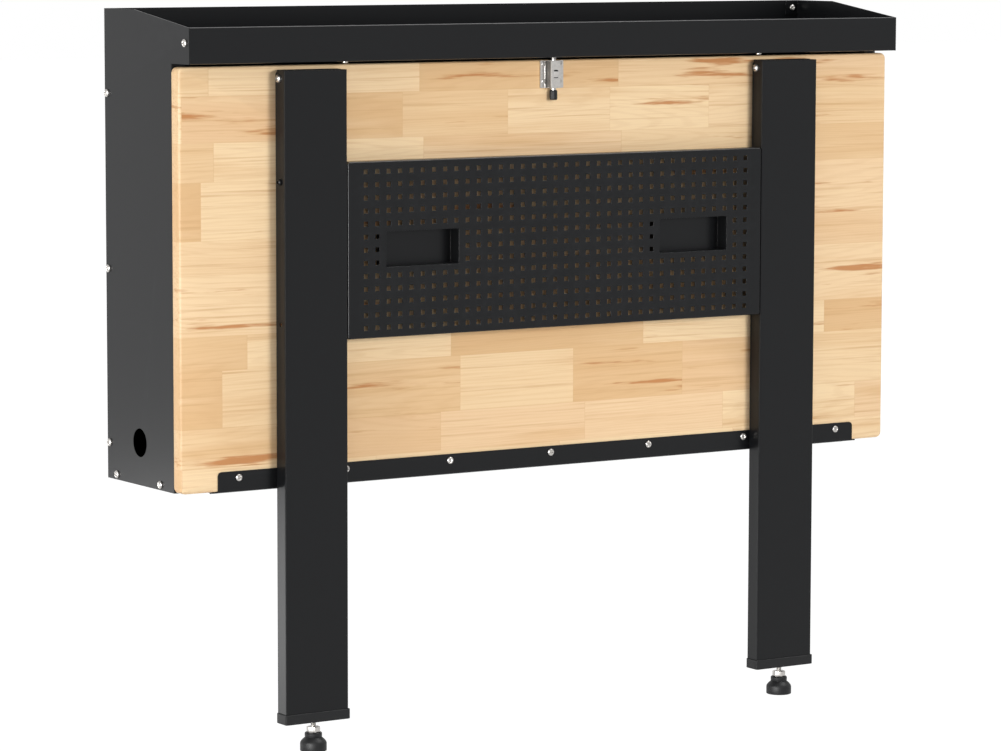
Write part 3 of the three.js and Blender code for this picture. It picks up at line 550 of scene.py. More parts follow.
@dataclass(frozen=True)
class StaveTimber(Finish):
    """Pale hardwood: edge glued staves along X, with growth rings, pores, streaks and small knots."""

    stave_height: float = 0.064
    stave_length: float = 0.17
    length_spread: float = 0.2
    row_waves: float = 43.0
    row_sway: float = 0.16
    row_stagger: float = 3.1
    cell_seed: float = 7.0
    stave_shift: Triple = (90.0, 60.0, 40.0)
    band_stretch: Triple = (2.2, 30.0, 36.0)
    line_stretch: Triple = (4.0, 200.0, 260.0)
    fibre_stretch: Triple = (26.0, 1000.0, 1200.0)
    streak_stretch: Triple = (4.4, 20.0, 62.0)
    ring_pitch: float = 0.0046
    ring_share: float = 0.13
    ring_reach: float = 0.07
    ring_bend: float = 0.02
    heart_spread: Pair = (1.5, 3.2)
    tan_staves: Band = (0.25, 1.0, 0.0, 0.9)
    rose_staves: Band = (0.5, 1.0, 0.0, 0.6)
    streaked_staves: Pair = (0.34, 0.38)
    dark_bands: Band = (0.48, 0.75, 0.0, 0.75)
    pale_bands: Band = (0.5, 0.25, 0.0, 0.5)
    dark_lines: Band = (0.5, 0.78, 0.0, 0.7)
    dark_streaks: Band = (0.585, 0.69, 0.0, 0.88)
    dark_fibres: Band = (0.62, 0.75, 0.0, 0.25)
    seam: Band = (0.49, 0.499, 0.0, 0.3)
    butt: Band = (0.497, 0.4995, 0.0, 0.3)
    knot_stretch: Triple = (4.6, 4.6, 9.5)
    knot_wobble: Triple = (0.3, 0.0, 0.3)
    knot_wobble_scale: float = 90.0
    knot_size: Band = (0.015, 0.045, 0.9, 0.0)
    knot_chance: Pair = (0.62, 0.64)
    end_stretch: Triple = (60.0, 900.0, 900.0)
    end_facing: Pair = (0.75, 0.95)
    end_speckle: Band = (0.4, 0.7, 0.1, 0.7)
    gloss: float = 0.42
    gloss_spread: float = 0.2
    specular: float = 0.3
    relief: float = 0.12
    relief_depth: float = 0.0002
    pale: Colour = (0.87, 0.655, 0.40, 1.0)
    tan: Colour = (0.71, 0.45, 0.225, 1.0)
    rose: Colour = (0.80, 0.54, 0.32, 1.0)
    ring: Colour = (0.62, 0.36, 0.17, 1.0)
    streak: Colour = (0.50, 0.20, 0.062, 1.0)
    knot: Colour = (0.12, 0.045, 0.018, 1.0)

    def fill(self, sheet: NodeSheet, shader: Node) -> None:
        """Builds the staves, their grain and their faults.

        Args:
            sheet: The material's tree.
            shader: Its Principled BSDF.
        """
        place = sheet.add("ShaderNodeTexCoord").outputs["Object"]
        split = sheet.add("ShaderNodeSeparateXYZ", {0: place})
        x, z = split.outputs[0], split.outputs[2]
        uneven = sheet.math("SINE", sheet.math("MULTIPLY", z, self.row_waves))
        level = sheet.math("DIVIDE", sheet.math("ADD", z, 1.0), self.stave_height)
        row_place = sheet.math("MULTIPLY_ADD", uneven, self.row_sway, level)
        row = sheet.math("FLOOR", row_place)
        row_random = sheet.add("ShaderNodeTexWhiteNoise", {"W": row}, noise_dimensions="1D").outputs[0]
        length = sheet.math("MULTIPLY_ADD", row_random, self.length_spread, self.stave_length)
        staggered = sheet.math("MULTIPLY_ADD", row_random, self.row_stagger, x)
        column_place = sheet.math("DIVIDE", staggered, length)
        column = sheet.math("FLOOR", column_place)
        cell = sheet.add("ShaderNodeCombineXYZ", {0: row, 1: column, 2: self.cell_seed}).outputs[0]
        stave = sheet.add("ShaderNodeTexWhiteNoise", {"Vector": cell}, noise_dimensions="3D")
        random = sheet.add("ShaderNodeSeparateColor", {0: stave.outputs["Color"]})
        shift = sheet.scaled(stave.outputs["Color"], self.stave_shift)
        bands = sheet.noise(sheet.scaled(place, self.band_stretch, shift), 1.0, 4.0, 0.55)
        lines = sheet.noise(sheet.scaled(place, self.line_stretch, shift), 1.0, 3.0, 0.6)
        fibres = sheet.noise(sheet.scaled(place, self.fibre_stretch, shift), 1.0, 2.0, 0.6)
        streaks = sheet.noise(sheet.scaled(place, self.streak_stretch, shift), 1.0, 4.0, 0.6)
        streaked = sheet.ramp(random.outputs[2], *self.streaked_staves)
        layers = (
            (sheet.ramp(random.outputs[0], *self.tan_staves), self.tan),
            (sheet.ramp(random.outputs[1], *self.rose_staves), self.rose),
            (sheet.ramp(bands, *self.dark_bands), self.tan),
            (sheet.ramp(bands, *self.pale_bands), self.pale),
            (self.rings(sheet, x, row_place, random, bands), self.ring),
            (sheet.ramp(lines, *self.dark_lines), self.ring),
            (sheet.math("MULTIPLY", sheet.ramp(streaks, *self.dark_streaks), streaked), self.streak),
            (self.knots(sheet, place), self.knot),
            (sheet.ramp(fibres, *self.dark_fibres), self.ring),
            (self.joints(sheet, row_place, column_place), self.ring),
            (self.end_grain(sheet, place), self.tan),
        )
        base: SocketOrValue = self.pale
        for mask, colour in layers:
            base = sheet.blend(mask, base, colour)
        sheet.feed(shader.inputs["Base Color"], base)
        gloss = sheet.math("MULTIPLY_ADD", lines, self.gloss_spread, self.gloss)
        sheet.feed(shader.inputs["Roughness"], gloss)
        shader.inputs["Specular IOR Level"].default_value = self.specular
        self.bump(sheet, shader, sheet.math("ADD", fibres, lines), self.relief, self.relief_depth)

    def rings(self, sheet: NodeSheet, x: Socket, row: Socket, random: Node, warp: Socket) -> Socket:
        """Mask of growth rings, arched where the stave was cut near the heart.

        Args:
            sheet: The material's tree.
            x: Place along the staves.
            row: Place across the staves, in staves.
            random: Three random values of the stave.
            warp: Slow noise that bends the rings.

        Returns:
            The mask.
        """
        heart_x, heart_z = (
            sheet.math("MULTIPLY_ADD", random.outputs[i], spread, -0.5 * spread)
            for i, spread in enumerate(self.heart_spread)
        )
        along = sheet.math("MULTIPLY", sheet.math("SUBTRACT", x, heart_x), self.ring_reach)
        across = sheet.math("SUBTRACT", sheet.math("FRACT", row), 0.5)
        across = sheet.math("MULTIPLY", sheet.math("SUBTRACT", across, heart_z), self.stave_height)
        span = sheet.add("ShaderNodeCombineXYZ", {0: along, 1: across, 2: 0.0}).outputs[0]
        far = sheet.add("ShaderNodeVectorMath", {0: span}, operation="LENGTH").outputs["Value"]
        bent = sheet.math("MULTIPLY_ADD", warp, self.ring_bend, far)
        turn = sheet.math("MULTIPLY", bent, 2.0 * math.pi / self.ring_pitch)
        return sheet.math("MULTIPLY", sheet.ramp(sheet.math("SINE", turn), 0.0, 1.0), self.ring_share)

    def knots(self, sheet: NodeSheet, place: Socket) -> Socket:
        """Mask of a few small dark knots, wider than they are high.

        Args:
            sheet: The material's tree.
            place: Object coordinate.

        Returns:
            The mask.
        """
        warp = sheet.noise(place, self.knot_wobble_scale)
        wobble = sheet.add("ShaderNodeCombineXYZ", {0: warp, 1: 0.0, 2: warp}).outputs[0]
        spread = sheet.scaled(place, self.knot_stretch, sheet.scaled(wobble, self.knot_wobble))
        cells = sheet.add("ShaderNodeTexVoronoi", {"Vector": spread, "Scale": 1.0})
        chosen = sheet.add("ShaderNodeSeparateColor", {0: cells.outputs["Color"]}).outputs[0]
        near = sheet.ramp(cells.outputs["Distance"], *self.knot_size)
        return sheet.math("MULTIPLY", near, sheet.ramp(chosen, *self.knot_chance))

    def joints(self, sheet: NodeSheet, row: Socket, column: Socket) -> Socket:
        """Faint mask of the glue lines between staves.

        Args:
            sheet: The material's tree.
            row: Place across the staves, in staves.
            column: Place along the staves, in staves.

        Returns:
            The mask.
        """
        lines = []
        for place, band in ((row, self.seam), (column, self.butt)):
            off_middle = sheet.math("ABSOLUTE", sheet.math("SUBTRACT", sheet.math("FRACT", place), 0.5))
            lines.append(sheet.ramp(off_middle, *band))
        return sheet.math("MAXIMUM", *lines)

    def end_grain(self, sheet: NodeSheet, place: Socket) -> Socket:
        """Mask of speckled end grain on the board's two ends.

        Args:
            sheet: The material's tree.
            place: Object coordinate.

        Returns:
            The mask.
        """
        normal = sheet.add("ShaderNodeNewGeometry").outputs["Normal"]
        side = sheet.math("ABSOLUTE", sheet.add("ShaderNodeSeparateXYZ", {0: normal}).outputs[0])
        speckle = sheet.noise(sheet.scaled(place, self.end_stretch), 1.0, 3.0)
        facing = sheet.ramp(side, *self.end_facing)
        return sheet.math("MULTIPLY", facing, sheet.ramp(speckle, *self.end_speckle))


# Nodes whose flats are cut into triangles, because easing would fold their many sided faces
SPLIT_NODES = ("right_side_panel", "cabinet_hinge_leaf", "left_leg_cap", "right_leg_cap")
COAT = CoatedFinish(Slot.COAT)
PLASTIC = CoatedFinish(
    Slot.PLASTIC, tone=(0.008, 0.0083, 0.009, 1.0), grain_scale=2200.0, gloss=0.5, relief=0.2,
    specular=0.25, wear=0.3,
)
# The latch's slit films borrow this black oxide as painted shade
OXIDE = CoatedFinish(
    Slot.OXIDE, tone=(0.012, 0.012, 0.0125, 1.0), gloss=0.34, metallic=0.4, relief=0.05, wear=0.6,
    dust_amount=0.05,
)
ZINC = ZincFinish(Slot.ZINC)
# Painted shade: darkened copies of the zinc, for the latch's shaded corner and the leg brackets behind the
# legs
PAINTED_SHADE_ZINC = PaintedShadeZinc(Slot.ZINC)
PAINTED_SHADE_DARK_ZINC = PaintedShadeZinc(
    Slot.ZINC, tone=(0.02, 0.02, 0.02, 1.0), shade=(0.015, 0.015, 0.015, 1.0), name="painted_shade_dark_zinc_finish"
)
TIMBER = StaveTimber(Slot.WOOD)


class Shop:
    """Makes meshes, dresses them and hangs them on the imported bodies."""

    def __init__(self, frame: dict) -> None:
        """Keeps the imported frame.
        """
        self.nodes: dict[str, bpy.types.Object] = frame["nodes"]
        self.made: list[str] = []

    def add(self, name: str, mesh: bpy.types.Mesh, finish: Finish, body: str,
            replaced: Iterable[str] = ()) -> bpy.types.Object:
        """Adds a new piece.

        Args:
            name: Name of the piece.
            mesh: Its mesh, in place.
            finish: Its finish.
            body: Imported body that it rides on.
            replaced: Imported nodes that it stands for.

        Returns:
            The new object.
        """
        piece = bpy.data.objects.new(name, mesh)
        bpy.context.scene.collection.objects.link(piece)
        mesh.materials.append(finish.material())
        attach(piece, body)
        if replaced:
            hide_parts(*replaced)
        self.made.append(name)
        LOG.info("piece %s on %s", name, body)
        return piece

    def dress(self, node: str, finish: Finish, ease: float = 0.0) -> None:
        """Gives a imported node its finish, with eased edges if asked.

        Args:
            node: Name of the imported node.
            finish: Its finish.
            ease: Radius of the eased edges, 0 for none.
        """
        piece = self.nodes[node]
        if not piece.material_slots:
            piece.data.materials.append(None)
        for slot in piece.material_slots:
            slot.material = finish.material()
        EdgeEase(ease, node in SPLIT_NODES).apply(piece)
        LOG.info("node %s dressed", node)

    def turn(self, node: str, profile: Profile, finish: Finish, body: str, sides: int = 40,
             wave: Optional[Wave] = None) -> None:
        """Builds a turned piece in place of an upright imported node.

        Args:
            node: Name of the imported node.
            profile: Radius and height of each point.
            finish: Its finish.
            body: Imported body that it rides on.
            sides: Number of facets.
            wave: Optional extra radius as a function of angle and height.
        """
        name = node + "_detailed"
        mesh = MeshKit.turned(name, profile, self.upright(node)[0], sides, wave)
        self.add(name, mesh, finish, body, [node])

    @staticmethod
    def upright(node: str) -> tuple[Matrix, float, float]:
        """Place of an upright turned node.

        Args:
            node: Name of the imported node.

        Returns:
            Transform to its axis, and its lowest and highest height.
        """
        low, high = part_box(node)
        middle = (low + high) / 2.0
        return Matrix.Translation((middle.x, middle.y, 0.0)), low.z, high.z


@dataclass(frozen=True)
class EdgeEase:
    """Welds a faceted solid's corners, redraws its flats, rounds its edges and shades it smoothly."""

    radius: float
    split: bool = False
    steps: int = 2
    edge_angle: float = math.radians(28.0)
    flat_angle: float = math.radians(0.5)
    smooth_angle: float = math.radians(50.0)
    weld_reach: float = 2e-6
    flat_weight: int = 80
    group_name: str = "smooth_by_edge_angle"

    def apply(self, piece: bpy.types.Object) -> None:
        """Adds the modifiers.

        Args:
            piece: Object to ease.
        """
        weld = piece.modifiers.new("weld", "WELD")
        weld.merge_threshold = self.weld_reach
        flat = piece.modifiers.new("merge_flats", "DECIMATE")
        flat.decimate_type = "DISSOLVE"
        flat.angle_limit = self.flat_angle
        if self.split:
            piece.modifiers.new("split_flats", "TRIANGULATE")
        smooth = piece.modifiers.new("smooth", "NODES")
        smooth.node_group = self.smoothing()
        if self.radius > 0.0:
            bevel = piece.modifiers.new("ease", "BEVEL")
            bevel.width = self.radius
            bevel.segments = self.steps
            bevel.limit_method = "ANGLE"
            bevel.angle_limit = self.edge_angle
            bevel.use_clamp_overlap = True
            bevel.miter_outer = "MITER_ARC"
            normals = piece.modifiers.new("flat_faces", "WEIGHTED_NORMAL")
            normals.weight = self.flat_weight
            normals.keep_sharp = False

    def smoothing(self) -> bpy.types.NodeTree:
        """Finds the node group that shades smoothly except at sharp edges, or builds it.

        Returns:
            The geometry node group.
        """
        found = bpy.data.node_groups.get(self.group_name)
        if found is not None:
            return found
        tree = bpy.data.node_groups.new(self.group_name, "GeometryNodeTree")
        tree.interface.new_socket("Geometry", in_out="INPUT", socket_type="NodeSocketGeometry")
        tree.interface.new_socket("Geometry", in_out="OUTPUT", socket_type="NodeSocketGeometry")
        sheet = NodeSheet(tree)
        source = sheet.add("NodeGroupInput")
        target = sheet.add("NodeGroupOutput")
        solid = source.outputs[0]
        plain = sheet.add("GeometryNodeRemoveAttribute", {"Geometry": solid, "Name": "custom_normal"})
        faces = sheet.add("GeometryNodeSetShadeSmooth", {"Geometry": plain.outputs[0], "Shade Smooth": True})
        angle = sheet.add("GeometryNodeInputMeshEdgeAngle").outputs["Unsigned Angle"]
        soft = sheet.add("FunctionNodeCompare", {0: angle, 1: self.smooth_angle}, operation="LESS_THAN")
        edges = sheet.add("GeometryNodeSetShadeSmooth", {"Geometry": faces.outputs[0]}, domain="EDGE")
        sheet.feed(edges.inputs["Shade Smooth"], soft.outputs[0])
        sheet.feed(target.inputs[0], edges.outputs[0])
        return tree


class MeshKit:
    """Builds meshes from profiles and outlines."""

    weld_reach = 1e-7
    least_radius = 1e-9
    ease_steps = 2

    @classmethod
    def finish(cls, name: str, form: Form, place: Matrix, sharp: float = 35.0) -> bpy.types.Mesh:
        """Turns a bmesh into a smooth mesh with sharp edges where it bends.

        Args:
            name: Name of the mesh.
            form: The bmesh, which is freed.
            place: Transform to bake in.
            sharp: Angle above which an edge stays sharp, in degrees.

        Returns:
            The mesh.
        """
        bmesh.ops.remove_doubles(form, verts=form.verts, dist=cls.weld_reach)
        bmesh.ops.recalc_face_normals(form, faces=form.faces)
        for face in form.faces:
            face.smooth = True
        mesh = bpy.data.meshes.new(name)
        form.to_mesh(mesh)
        form.free()
        mesh.transform(place)
        mesh.set_sharp_from_angle(angle=math.radians(sharp))
        return mesh

    @staticmethod
    def circle(radius: float, sides: int, start: float = 0.0) -> list[Pair]:
        """Points of a circle round the origin.

        Args:
            radius: Its radius.
            sides: Number of points.
            start: Angle of the first point.

        Returns:
            The points.
        """
        angles = [start + 2.0 * math.pi * i / sides for i in range(sides)]
        return [(radius * math.cos(angle), radius * math.sin(angle)) for angle in angles]

    @staticmethod
    def eased_wall(radius: float, low: float, high: float, ease: float) -> list[Pair]:
        """Profile of a round upright wall with eased ends.

        Args:
            radius: Its radius.
            low: Lower height.
            high: Upper height.
            ease: Width of the eased ends.

        Returns:
            Radius and height of each point.
        """
        return [(radius - ease, low), (radius, low + ease), (radius, high - ease), (radius - ease, high)]

    @classmethod
    def turned(cls, name: str, profile: Profile, place: Matrix, sides: int = 40,
               wave: Optional[Wave] = None) -> bpy.types.Mesh:
        """Revolves a profile round +Z.

        Args:
            name: Name of the mesh.
            profile: Radius and height of each point, in metres.
            place: Transform to bake in.
            sides: Number of facets.
            wave: Optional extra radius as a function of angle and height.

        Returns:
            The mesh.
        """
        form = bmesh.new()
        rings = []
        for radius, height in profile:
            if radius < cls.least_radius:
                rings.append([form.verts.new((0.0, 0.0, height))])
                continue
            ring = []
            for i in range(sides):
                angle = 2.0 * math.pi * i / sides
                reach = radius + (wave(angle, height) if wave else 0.0)
                ring.append(form.verts.new((reach * math.cos(angle), reach * math.sin(angle), height)))
            rings.append(ring)
        for lower, upper in zip(rings, rings[1:]):
            cls.bridge(form, lower, upper)
        return cls.finish(name, form, place)

    @staticmethod
    def bridge(form: Form, lower: list, upper: list) -> None:
        """Joins two rings, either of which may be a single point.

        Args:
            form: The bmesh.
            lower: First ring.
            upper: Second ring.
        """
        count = max(len(lower), len(upper))
        if count == 1:
            return
        for i in range(count):
            k = (i + 1) % count
            corners = [lower[i % len(lower)], lower[k % len(lower)]]
            corners += [upper[k % len(upper)], upper[i % len(upper)]]
            form.faces.new(list(dict.fromkeys(corners)))

    @classmethod
    def prism(cls, name: str, outline: Profile, low: float, high: float, place: Matrix,
              ease: float) -> bpy.types.Mesh:
        """Extrudes an outline along +Z and eases its edges.

        Args:
            name: Name of the mesh.
            outline: Corners in the XY plane.
            low: Lower height.
            high: Upper height.
            place: Transform to bake in.
            ease: Width of the eased edges.

        Returns:
            The mesh.
        """
        form = bmesh.new()
        lower = [form.verts.new((px, py, low)) for px, py in outline]
        upper = [form.verts.new((px, py, high)) for px, py in outline]
        form.faces.new(lower[::-1])
        form.faces.new(upper)
        for i in range(len(outline)):
            k = (i + 1) % len(outline)
            form.faces.new((lower[i], lower[k], upper[k], upper[i]))
        bmesh.ops.bevel(
            form, geom=form.edges[:], offset=ease, segments=cls.ease_steps, profile=0.5, affect="EDGES"
        )
        return cls.finish(name, form, place)


@dataclass(frozen=True)
class Fastener:
    """A screw or bolt head with its recess, and the length of shank under it."""

    head_radius: float
    rise: float
    shank_radius: float
    shank_length: float
    drive: Drive = Drive.CROSS
    rings: int = 15
    sides: int = 48
    ring_crowding: float = 0.9
    sharp_angle: float = 42.0
    rim_share: float = 0.35
    dome_power: float = 3.2
    dome_shoulder: float = 0.6
    recess_share: float = 0.62
    socket_reach: float = 0.46
    half_root_three: float = 0.866
    cross_arm: float = 0.19
    cross_wall: float = 0.07
    cross_reach: float = 0.66
    cross_taper: float = 0.3

    def mesh(self, name: str, seat: Vector, facing: Facing, spin: float) -> bpy.types.Mesh:
        """Builds the fastener on a surface.

        Args:
            name: Name of the mesh.
            seat: Point of the surface on the fastener's axis.
            facing: Way that the head faces.
            spin: Turn of the recess, in degrees.

        Returns:
            The mesh.
        """
        form = bmesh.new()
        rows = [[form.verts.new((0.0, 0.0, self.height(0.0, 0.0)))]]
        for k in range(1, self.rings + 1):
            radius = self.head_radius * math.sin(0.5 * math.pi * k / self.rings) ** self.ring_crowding
            places = MeshKit.circle(radius, self.sides)
            rows.append([form.verts.new((x, y, self.height(x, y))) for x, y in places])
        shank = ((self.head_radius, 0.0), (self.shank_radius, 0.0), (self.shank_radius, -self.shank_length))
        for radius, height in shank:
            rows.append([form.verts.new((x, y, height)) for x, y in MeshKit.circle(radius, self.sides)])
        rows.append([form.verts.new((0.0, 0.0, -self.shank_length))])
        for upper, lower in zip(rows, rows[1:]):
            MeshKit.bridge(form, upper, lower)
        place = Matrix.Translation(seat) @ facing.turn() @ Matrix.Rotation(math.radians(spin), 4, "Z")
        return MeshKit.finish(name, form, place, self.sharp_angle)

    def height(self, x: float, y: float) -> float:
        """Height of the head's top, with its recess.

        Args:
            x: Place across the head.
            y: Place across the head.

        Returns:
            Height above the seat.
        """
        share = min(1.0, math.hypot(x, y) / self.head_radius)
        bulge = (1.0 - share**self.dome_power) ** self.dome_shoulder
        dome = self.rise * (self.rim_share + (1.0 - self.rim_share) * bulge)
        depth = self.recess(x / self.head_radius, y / self.head_radius)
        return dome - self.recess_share * self.rise * depth

    def recess(self, u: float, v: float) -> float:
        """Depth of the recess, as a share of its full depth.

        Args:
            u: Place across the head, in head radii.
            v: Place across the head, in head radii.

        Returns:
            0 outside the recess, up to 1 in it.
        """
        if self.drive is Drive.SOCKET:
            lean = self.half_root_three * v
            spread = max(abs(u), abs(0.5 * u + lean), abs(0.5 * u - lean))
            return 1.0 if spread < self.socket_reach else 0.0
        arm = min(abs(u), abs(v))
        reach = max(abs(u), abs(v))
        wall = max(0.0, min(1.0, (self.cross_arm - arm) / self.cross_wall))
        taper = max(0.0, min(1.0, (self.cross_reach - reach) / self.cross_taper))
        return wall * taper


def replace_fastener(shop: Shop, node: str, kind: Fastener, facing: Facing, spin: float, body: str,
                     finish: Finish = ZINC) -> None:
    """Builds a detailed fastener where a packed one is.

    Args:
        shop: Maker of the pieces.
        node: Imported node.
        kind: Sizes of the fastener.
        facing: Way that its head faces.
        spin: Turn of its recess, in degrees.
        body: Body that it rides on.
        finish: Its finish.
    """
    low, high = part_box(node)
    way = facing.vector
    tip = high if sum(way) > 0.0 else low
    axis = max(range(3), key=lambda i: abs(way[i]))
    seat = (low + high) / 2.0
    seat[axis] = tip[axis] - way[axis] * kind.rise
    shop.add(node + "_detailed", kind.mesh(node, seat, facing, spin), finish, body, [node])


@dataclass
class WallCabinet:
    """Sheet steel cabinet with its tray, its screws and the small screws under the lip."""

    shop: Shop
    ease: float = 0.35 * MM
    side_screw: Fastener = Fastener(5.5 * MM, 3.2 * MM, 2.4 * MM, 6.5 * MM)
    back_bolt: Fastener = Fastener(4.5 * MM, 3.0 * MM, 2.4 * MM, 2.4 * MM)
    lip_screw: Fastener = Fastener(4.2 * MM, 2.6 * MM, 1.9 * MM, 0.15 * MM)
    lip_screw_x: float = 352.0 * MM
    lip_screw_setback: float = 8.5 * MM
    lip_screw_gap: float = 0.05 * MM
    lip_screw_spin: float = 20.0
    side_screws: int = 6
    first_spin: float = 12.0
    spin_step: float = 37.0
    sheets: tuple[str, ...] = (
        "back_panel", "left_side_panel", "right_side_panel", "bottom_panel", "tray", "cabinet_hinge_leaf",
    )

    def build(self) -> None:
        """Dresses the sheets and builds the screws."""
        for name in self.sheets:
            self.shop.dress(name, COAT, self.ease)
        spin = self.first_spin
        for side, facing in (("left", Facing.LEFT), ("right", Facing.RIGHT)):
            for number in range(1, self.side_screws + 1):
                spin += self.spin_step
                name = f"{side}_side_screw_{number}"
                replace_fastener(self.shop, name, self.side_screw, facing, spin, "cabinet")
            replace_fastener(self.shop, f"{side}_back_bolt", self.back_bolt, Facing.FRONT, spin, "cabinet")
        low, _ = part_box("tray")
        for sign, side in ((-1, "left"), (1, "right")):
            name = f"{side}_lip_screw"
            y, z = low.y + self.lip_screw_setback, low.z - self.lip_screw_gap
            seat = Vector((sign * self.lip_screw_x, y, z))
            mesh = self.lip_screw.mesh(name, seat, Facing.DOWN, self.lip_screw_spin)
            self.shop.add(name, mesh, ZINC, "cabinet")


@dataclass
class Worktop:
    """Timber board with its hinge strip, screws and leg brackets."""

    shop: Shop
    strip_screw: Fastener = Fastener(5.0 * MM, 2.8 * MM, 2.2 * MM, 13.0 * MM)
    strip_screws: int = 7
    spin_step: float = 29.0
    strip_ease: float = 0.3 * MM
    bracket_ease: float = 0.4 * MM

    def build(self) -> None:
        """Dresses the board and its fittings and builds the strip's screws."""
        self.shop.dress("worktop_board", TIMBER)
        self.shop.dress("worktop_hinge_strip", COAT, self.strip_ease)
        self.shop.dress("hinge_pin", ZINC)
        # The leg brackets get painted shade: their zinc is darkened to near black for the shade behind the
        # legs
        for side in ("left", "right"):
            self.shop.dress(f"{side}_leg_bracket", PAINTED_SHADE_DARK_ZINC, self.bracket_ease)
        for number in range(1, self.strip_screws + 1):
            name, spin = f"strip_screw_{number}", self.spin_step * number
            replace_fastener(self.shop, name, self.strip_screw, Facing.FRONT, spin, "worktop")


@dataclass
class SpringLatch:
    """Latch under the middle of the lip: housing, sprung bolt, nut and knob."""

    shop: Shop
    housing_ease: float = 0.3 * MM
    bolt_radius: float = 3.75 * MM
    stem_radius: float = 2.3 * MM
    collar_radius: float = 4.8 * MM
    collar_height: float = 1.7 * MM
    collar_drop: float = 14.1 * MM
    nut_radius: float = 3.8 * MM
    nut_ease: float = 0.35 * MM
    bore_radius: float = 2.6 * MM
    knob_radius: float = 5.45 * MM
    knob_bore: float = 7.0 * MM
    knob_sides: int = 144
    rib_count: int = 18
    rib_depth: float = 0.13 * MM
    bridge_width: float = 7.4 * MM
    bridge_height: float = 8.2 * MM
    bridge_bulge: float = 0.75 * MM
    bridge_sheet: float = 0.9 * MM
    arc_steps: int = 10
    upper_slit: float = 2.4 * MM
    lower_slit: float = -1.3 * MM
    film: float = 0.06 * MM
    film_ease: float = 0.02 * MM
    wall_x: float = -8.75 * MM
    sheet: float = 1.5 * MM
    channel_inset: float = 0.4 * MM
    channel_setback: float = 1.3 * MM
    # Painted shade: width of the dark strip on the plate beside the housing's left wall
    painted_shade_width: float = 2.4 * MM
    bead_radius: float = 0.55 * MM
    bead_ease: float = 0.3 * MM
    bead_sides: int = 24
    spring_wire: float = 0.45 * MM
    spring_turns: int = 6
    turn_steps: int = 28
    wire_sides: int = 10
    travel: float = 10.0 * MM
    plate_screw: Fastener = Fastener(3.2 * MM, 1.5 * MM, 1.4 * MM, 0.1 * MM)
    plate_screw_x: float = 14.2 * MM
    plate_screw_z: Pair = (248.3 * MM, 223.4 * MM)
    plate_screw_sink: float = 1.55 * MM
    plate_screw_spin: float = 33.0

    def build(self) -> None:
        """Dresses the housing and builds the moving pieces and the small screws."""
        self.shop.dress("latch_housing", ZINC, self.housing_ease)
        self.spring()
        self.bolt()
        self.nut()
        self.knob()
        # bridge() and channel() also add the painted shade of the slits and of the latch's corner
        self.bridge()
        self.channel()
        _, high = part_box("latch_housing")
        for sign, side in ((-1, "left"), (1, "right")):
            for level, z in zip(("upper", "lower"), self.plate_screw_z):
                name = f"latch_{side}_{level}_screw"
                seat = Vector((sign * self.plate_screw_x, high.y - self.plate_screw_sink, z))
                mesh = self.plate_screw.mesh(name, seat, Facing.FRONT, self.plate_screw_spin)
                self.shop.add(name, mesh, ZINC, "worktop")

    def spring(self) -> None:
        """Builds the coil spring; nothing here shortens it, though the real spring shortens towards the
        bolt's collar as the knob is pulled.
        """
        node, name = "latch_spring", "latch_spring_detailed"
        place, low, high = self.shop.upright(node)
        left, right = (corner.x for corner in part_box(node))
        wire, steps = self.spring_wire, self.turn_steps * self.spring_turns
        radius, rise = (right - left) / 2.0 - wire, high - low - 2.0 * wire
        climb = rise / (2.0 * math.pi * self.spring_turns)
        form = bmesh.new()
        centres, rings = [], []
        for k in range(steps + 1):
            angle = 2.0 * math.pi * k / self.turn_steps
            outward = Vector((math.cos(angle), math.sin(angle), 0.0))
            along = Vector((-radius * math.sin(angle), radius * math.cos(angle), climb)).normalized()
            upward = outward.cross(along)
            centre = radius * outward + Vector((0.0, 0.0, low + wire + rise * k / steps))
            section = MeshKit.circle(wire, self.wire_sides)
            rings.append([form.verts.new(centre + u * outward + v * upward) for u, v in section])
            centres.append(centre)
        rings = [[form.verts.new(centres[0])], *rings, [form.verts.new(centres[-1])]]
        for first, second in zip(rings, rings[1:]):
            MeshKit.bridge(form, first, second)
        piece = self.shop.add(name, MeshKit.finish(name, form, place), ZINC, "latch", [node])
        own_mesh(piece)

    def bolt(self) -> None:
        """Builds the round bolt with its collar and stem."""
        _, low, high = self.shop.upright("latch_bolt")
        collar = high - self.collar_drop
        under = collar - self.collar_height
        nose = ((1.0, 1.4 * MM), (0.9, 0.7 * MM), (0.68, 0.15 * MM), (0.4, 0.0), (0.0, 0.0))
        profile = [
            (0.0, low), (self.stem_radius, low), (self.stem_radius, under), (self.collar_radius, under),
            (self.collar_radius, collar), (self.bolt_radius, collar),
            *((share * self.bolt_radius, high - drop) for share, drop in nose),
        ]
        self.shop.turn("latch_bolt", profile, ZINC, "latch")

    def nut(self) -> None:
        """Builds the round nut above the knob."""
        _, low, high = self.shop.upright("latch_nut")
        bore = self.bore_radius
        wall = MeshKit.eased_wall(self.nut_radius, low, high, self.nut_ease)
        self.shop.turn("latch_nut", [(bore, low), *wall, (bore, high), (bore, low)], ZINC, "latch")

    def knob(self) -> None:
        """Builds the ribbed knob."""
        _, low, high = self.shop.upright("latch_knob")
        radius, bore, floor = self.knob_radius, self.bore_radius, high - self.knob_bore
        profile = [
            (0.0, low), (0.55 * radius, low), (0.85 * radius, low + 0.25 * MM),
            (0.97 * radius, low + 0.9 * MM), (radius, low + 1.8 * MM), (radius, high - 1.4 * MM),
            (0.96 * radius, high - 0.6 * MM), (0.86 * radius, high),
            (bore, high), (bore, floor), (0.0, floor),
        ]

        def ribs(angle: float, height: float) -> float:
            """Extra radius of the grip ribs.

            Args:
                angle: Angle round the knob.
                height: Height on the knob.

            Returns:
                Extra radius.
            """
            grip = low + 1.7 * MM < height < high - 1.3 * MM
            return self.rib_depth * math.cos(self.rib_count * angle) if grip else 0.0

        self.shop.turn("latch_knob", profile, PLASTIC, "latch", self.knob_sides, ribs)

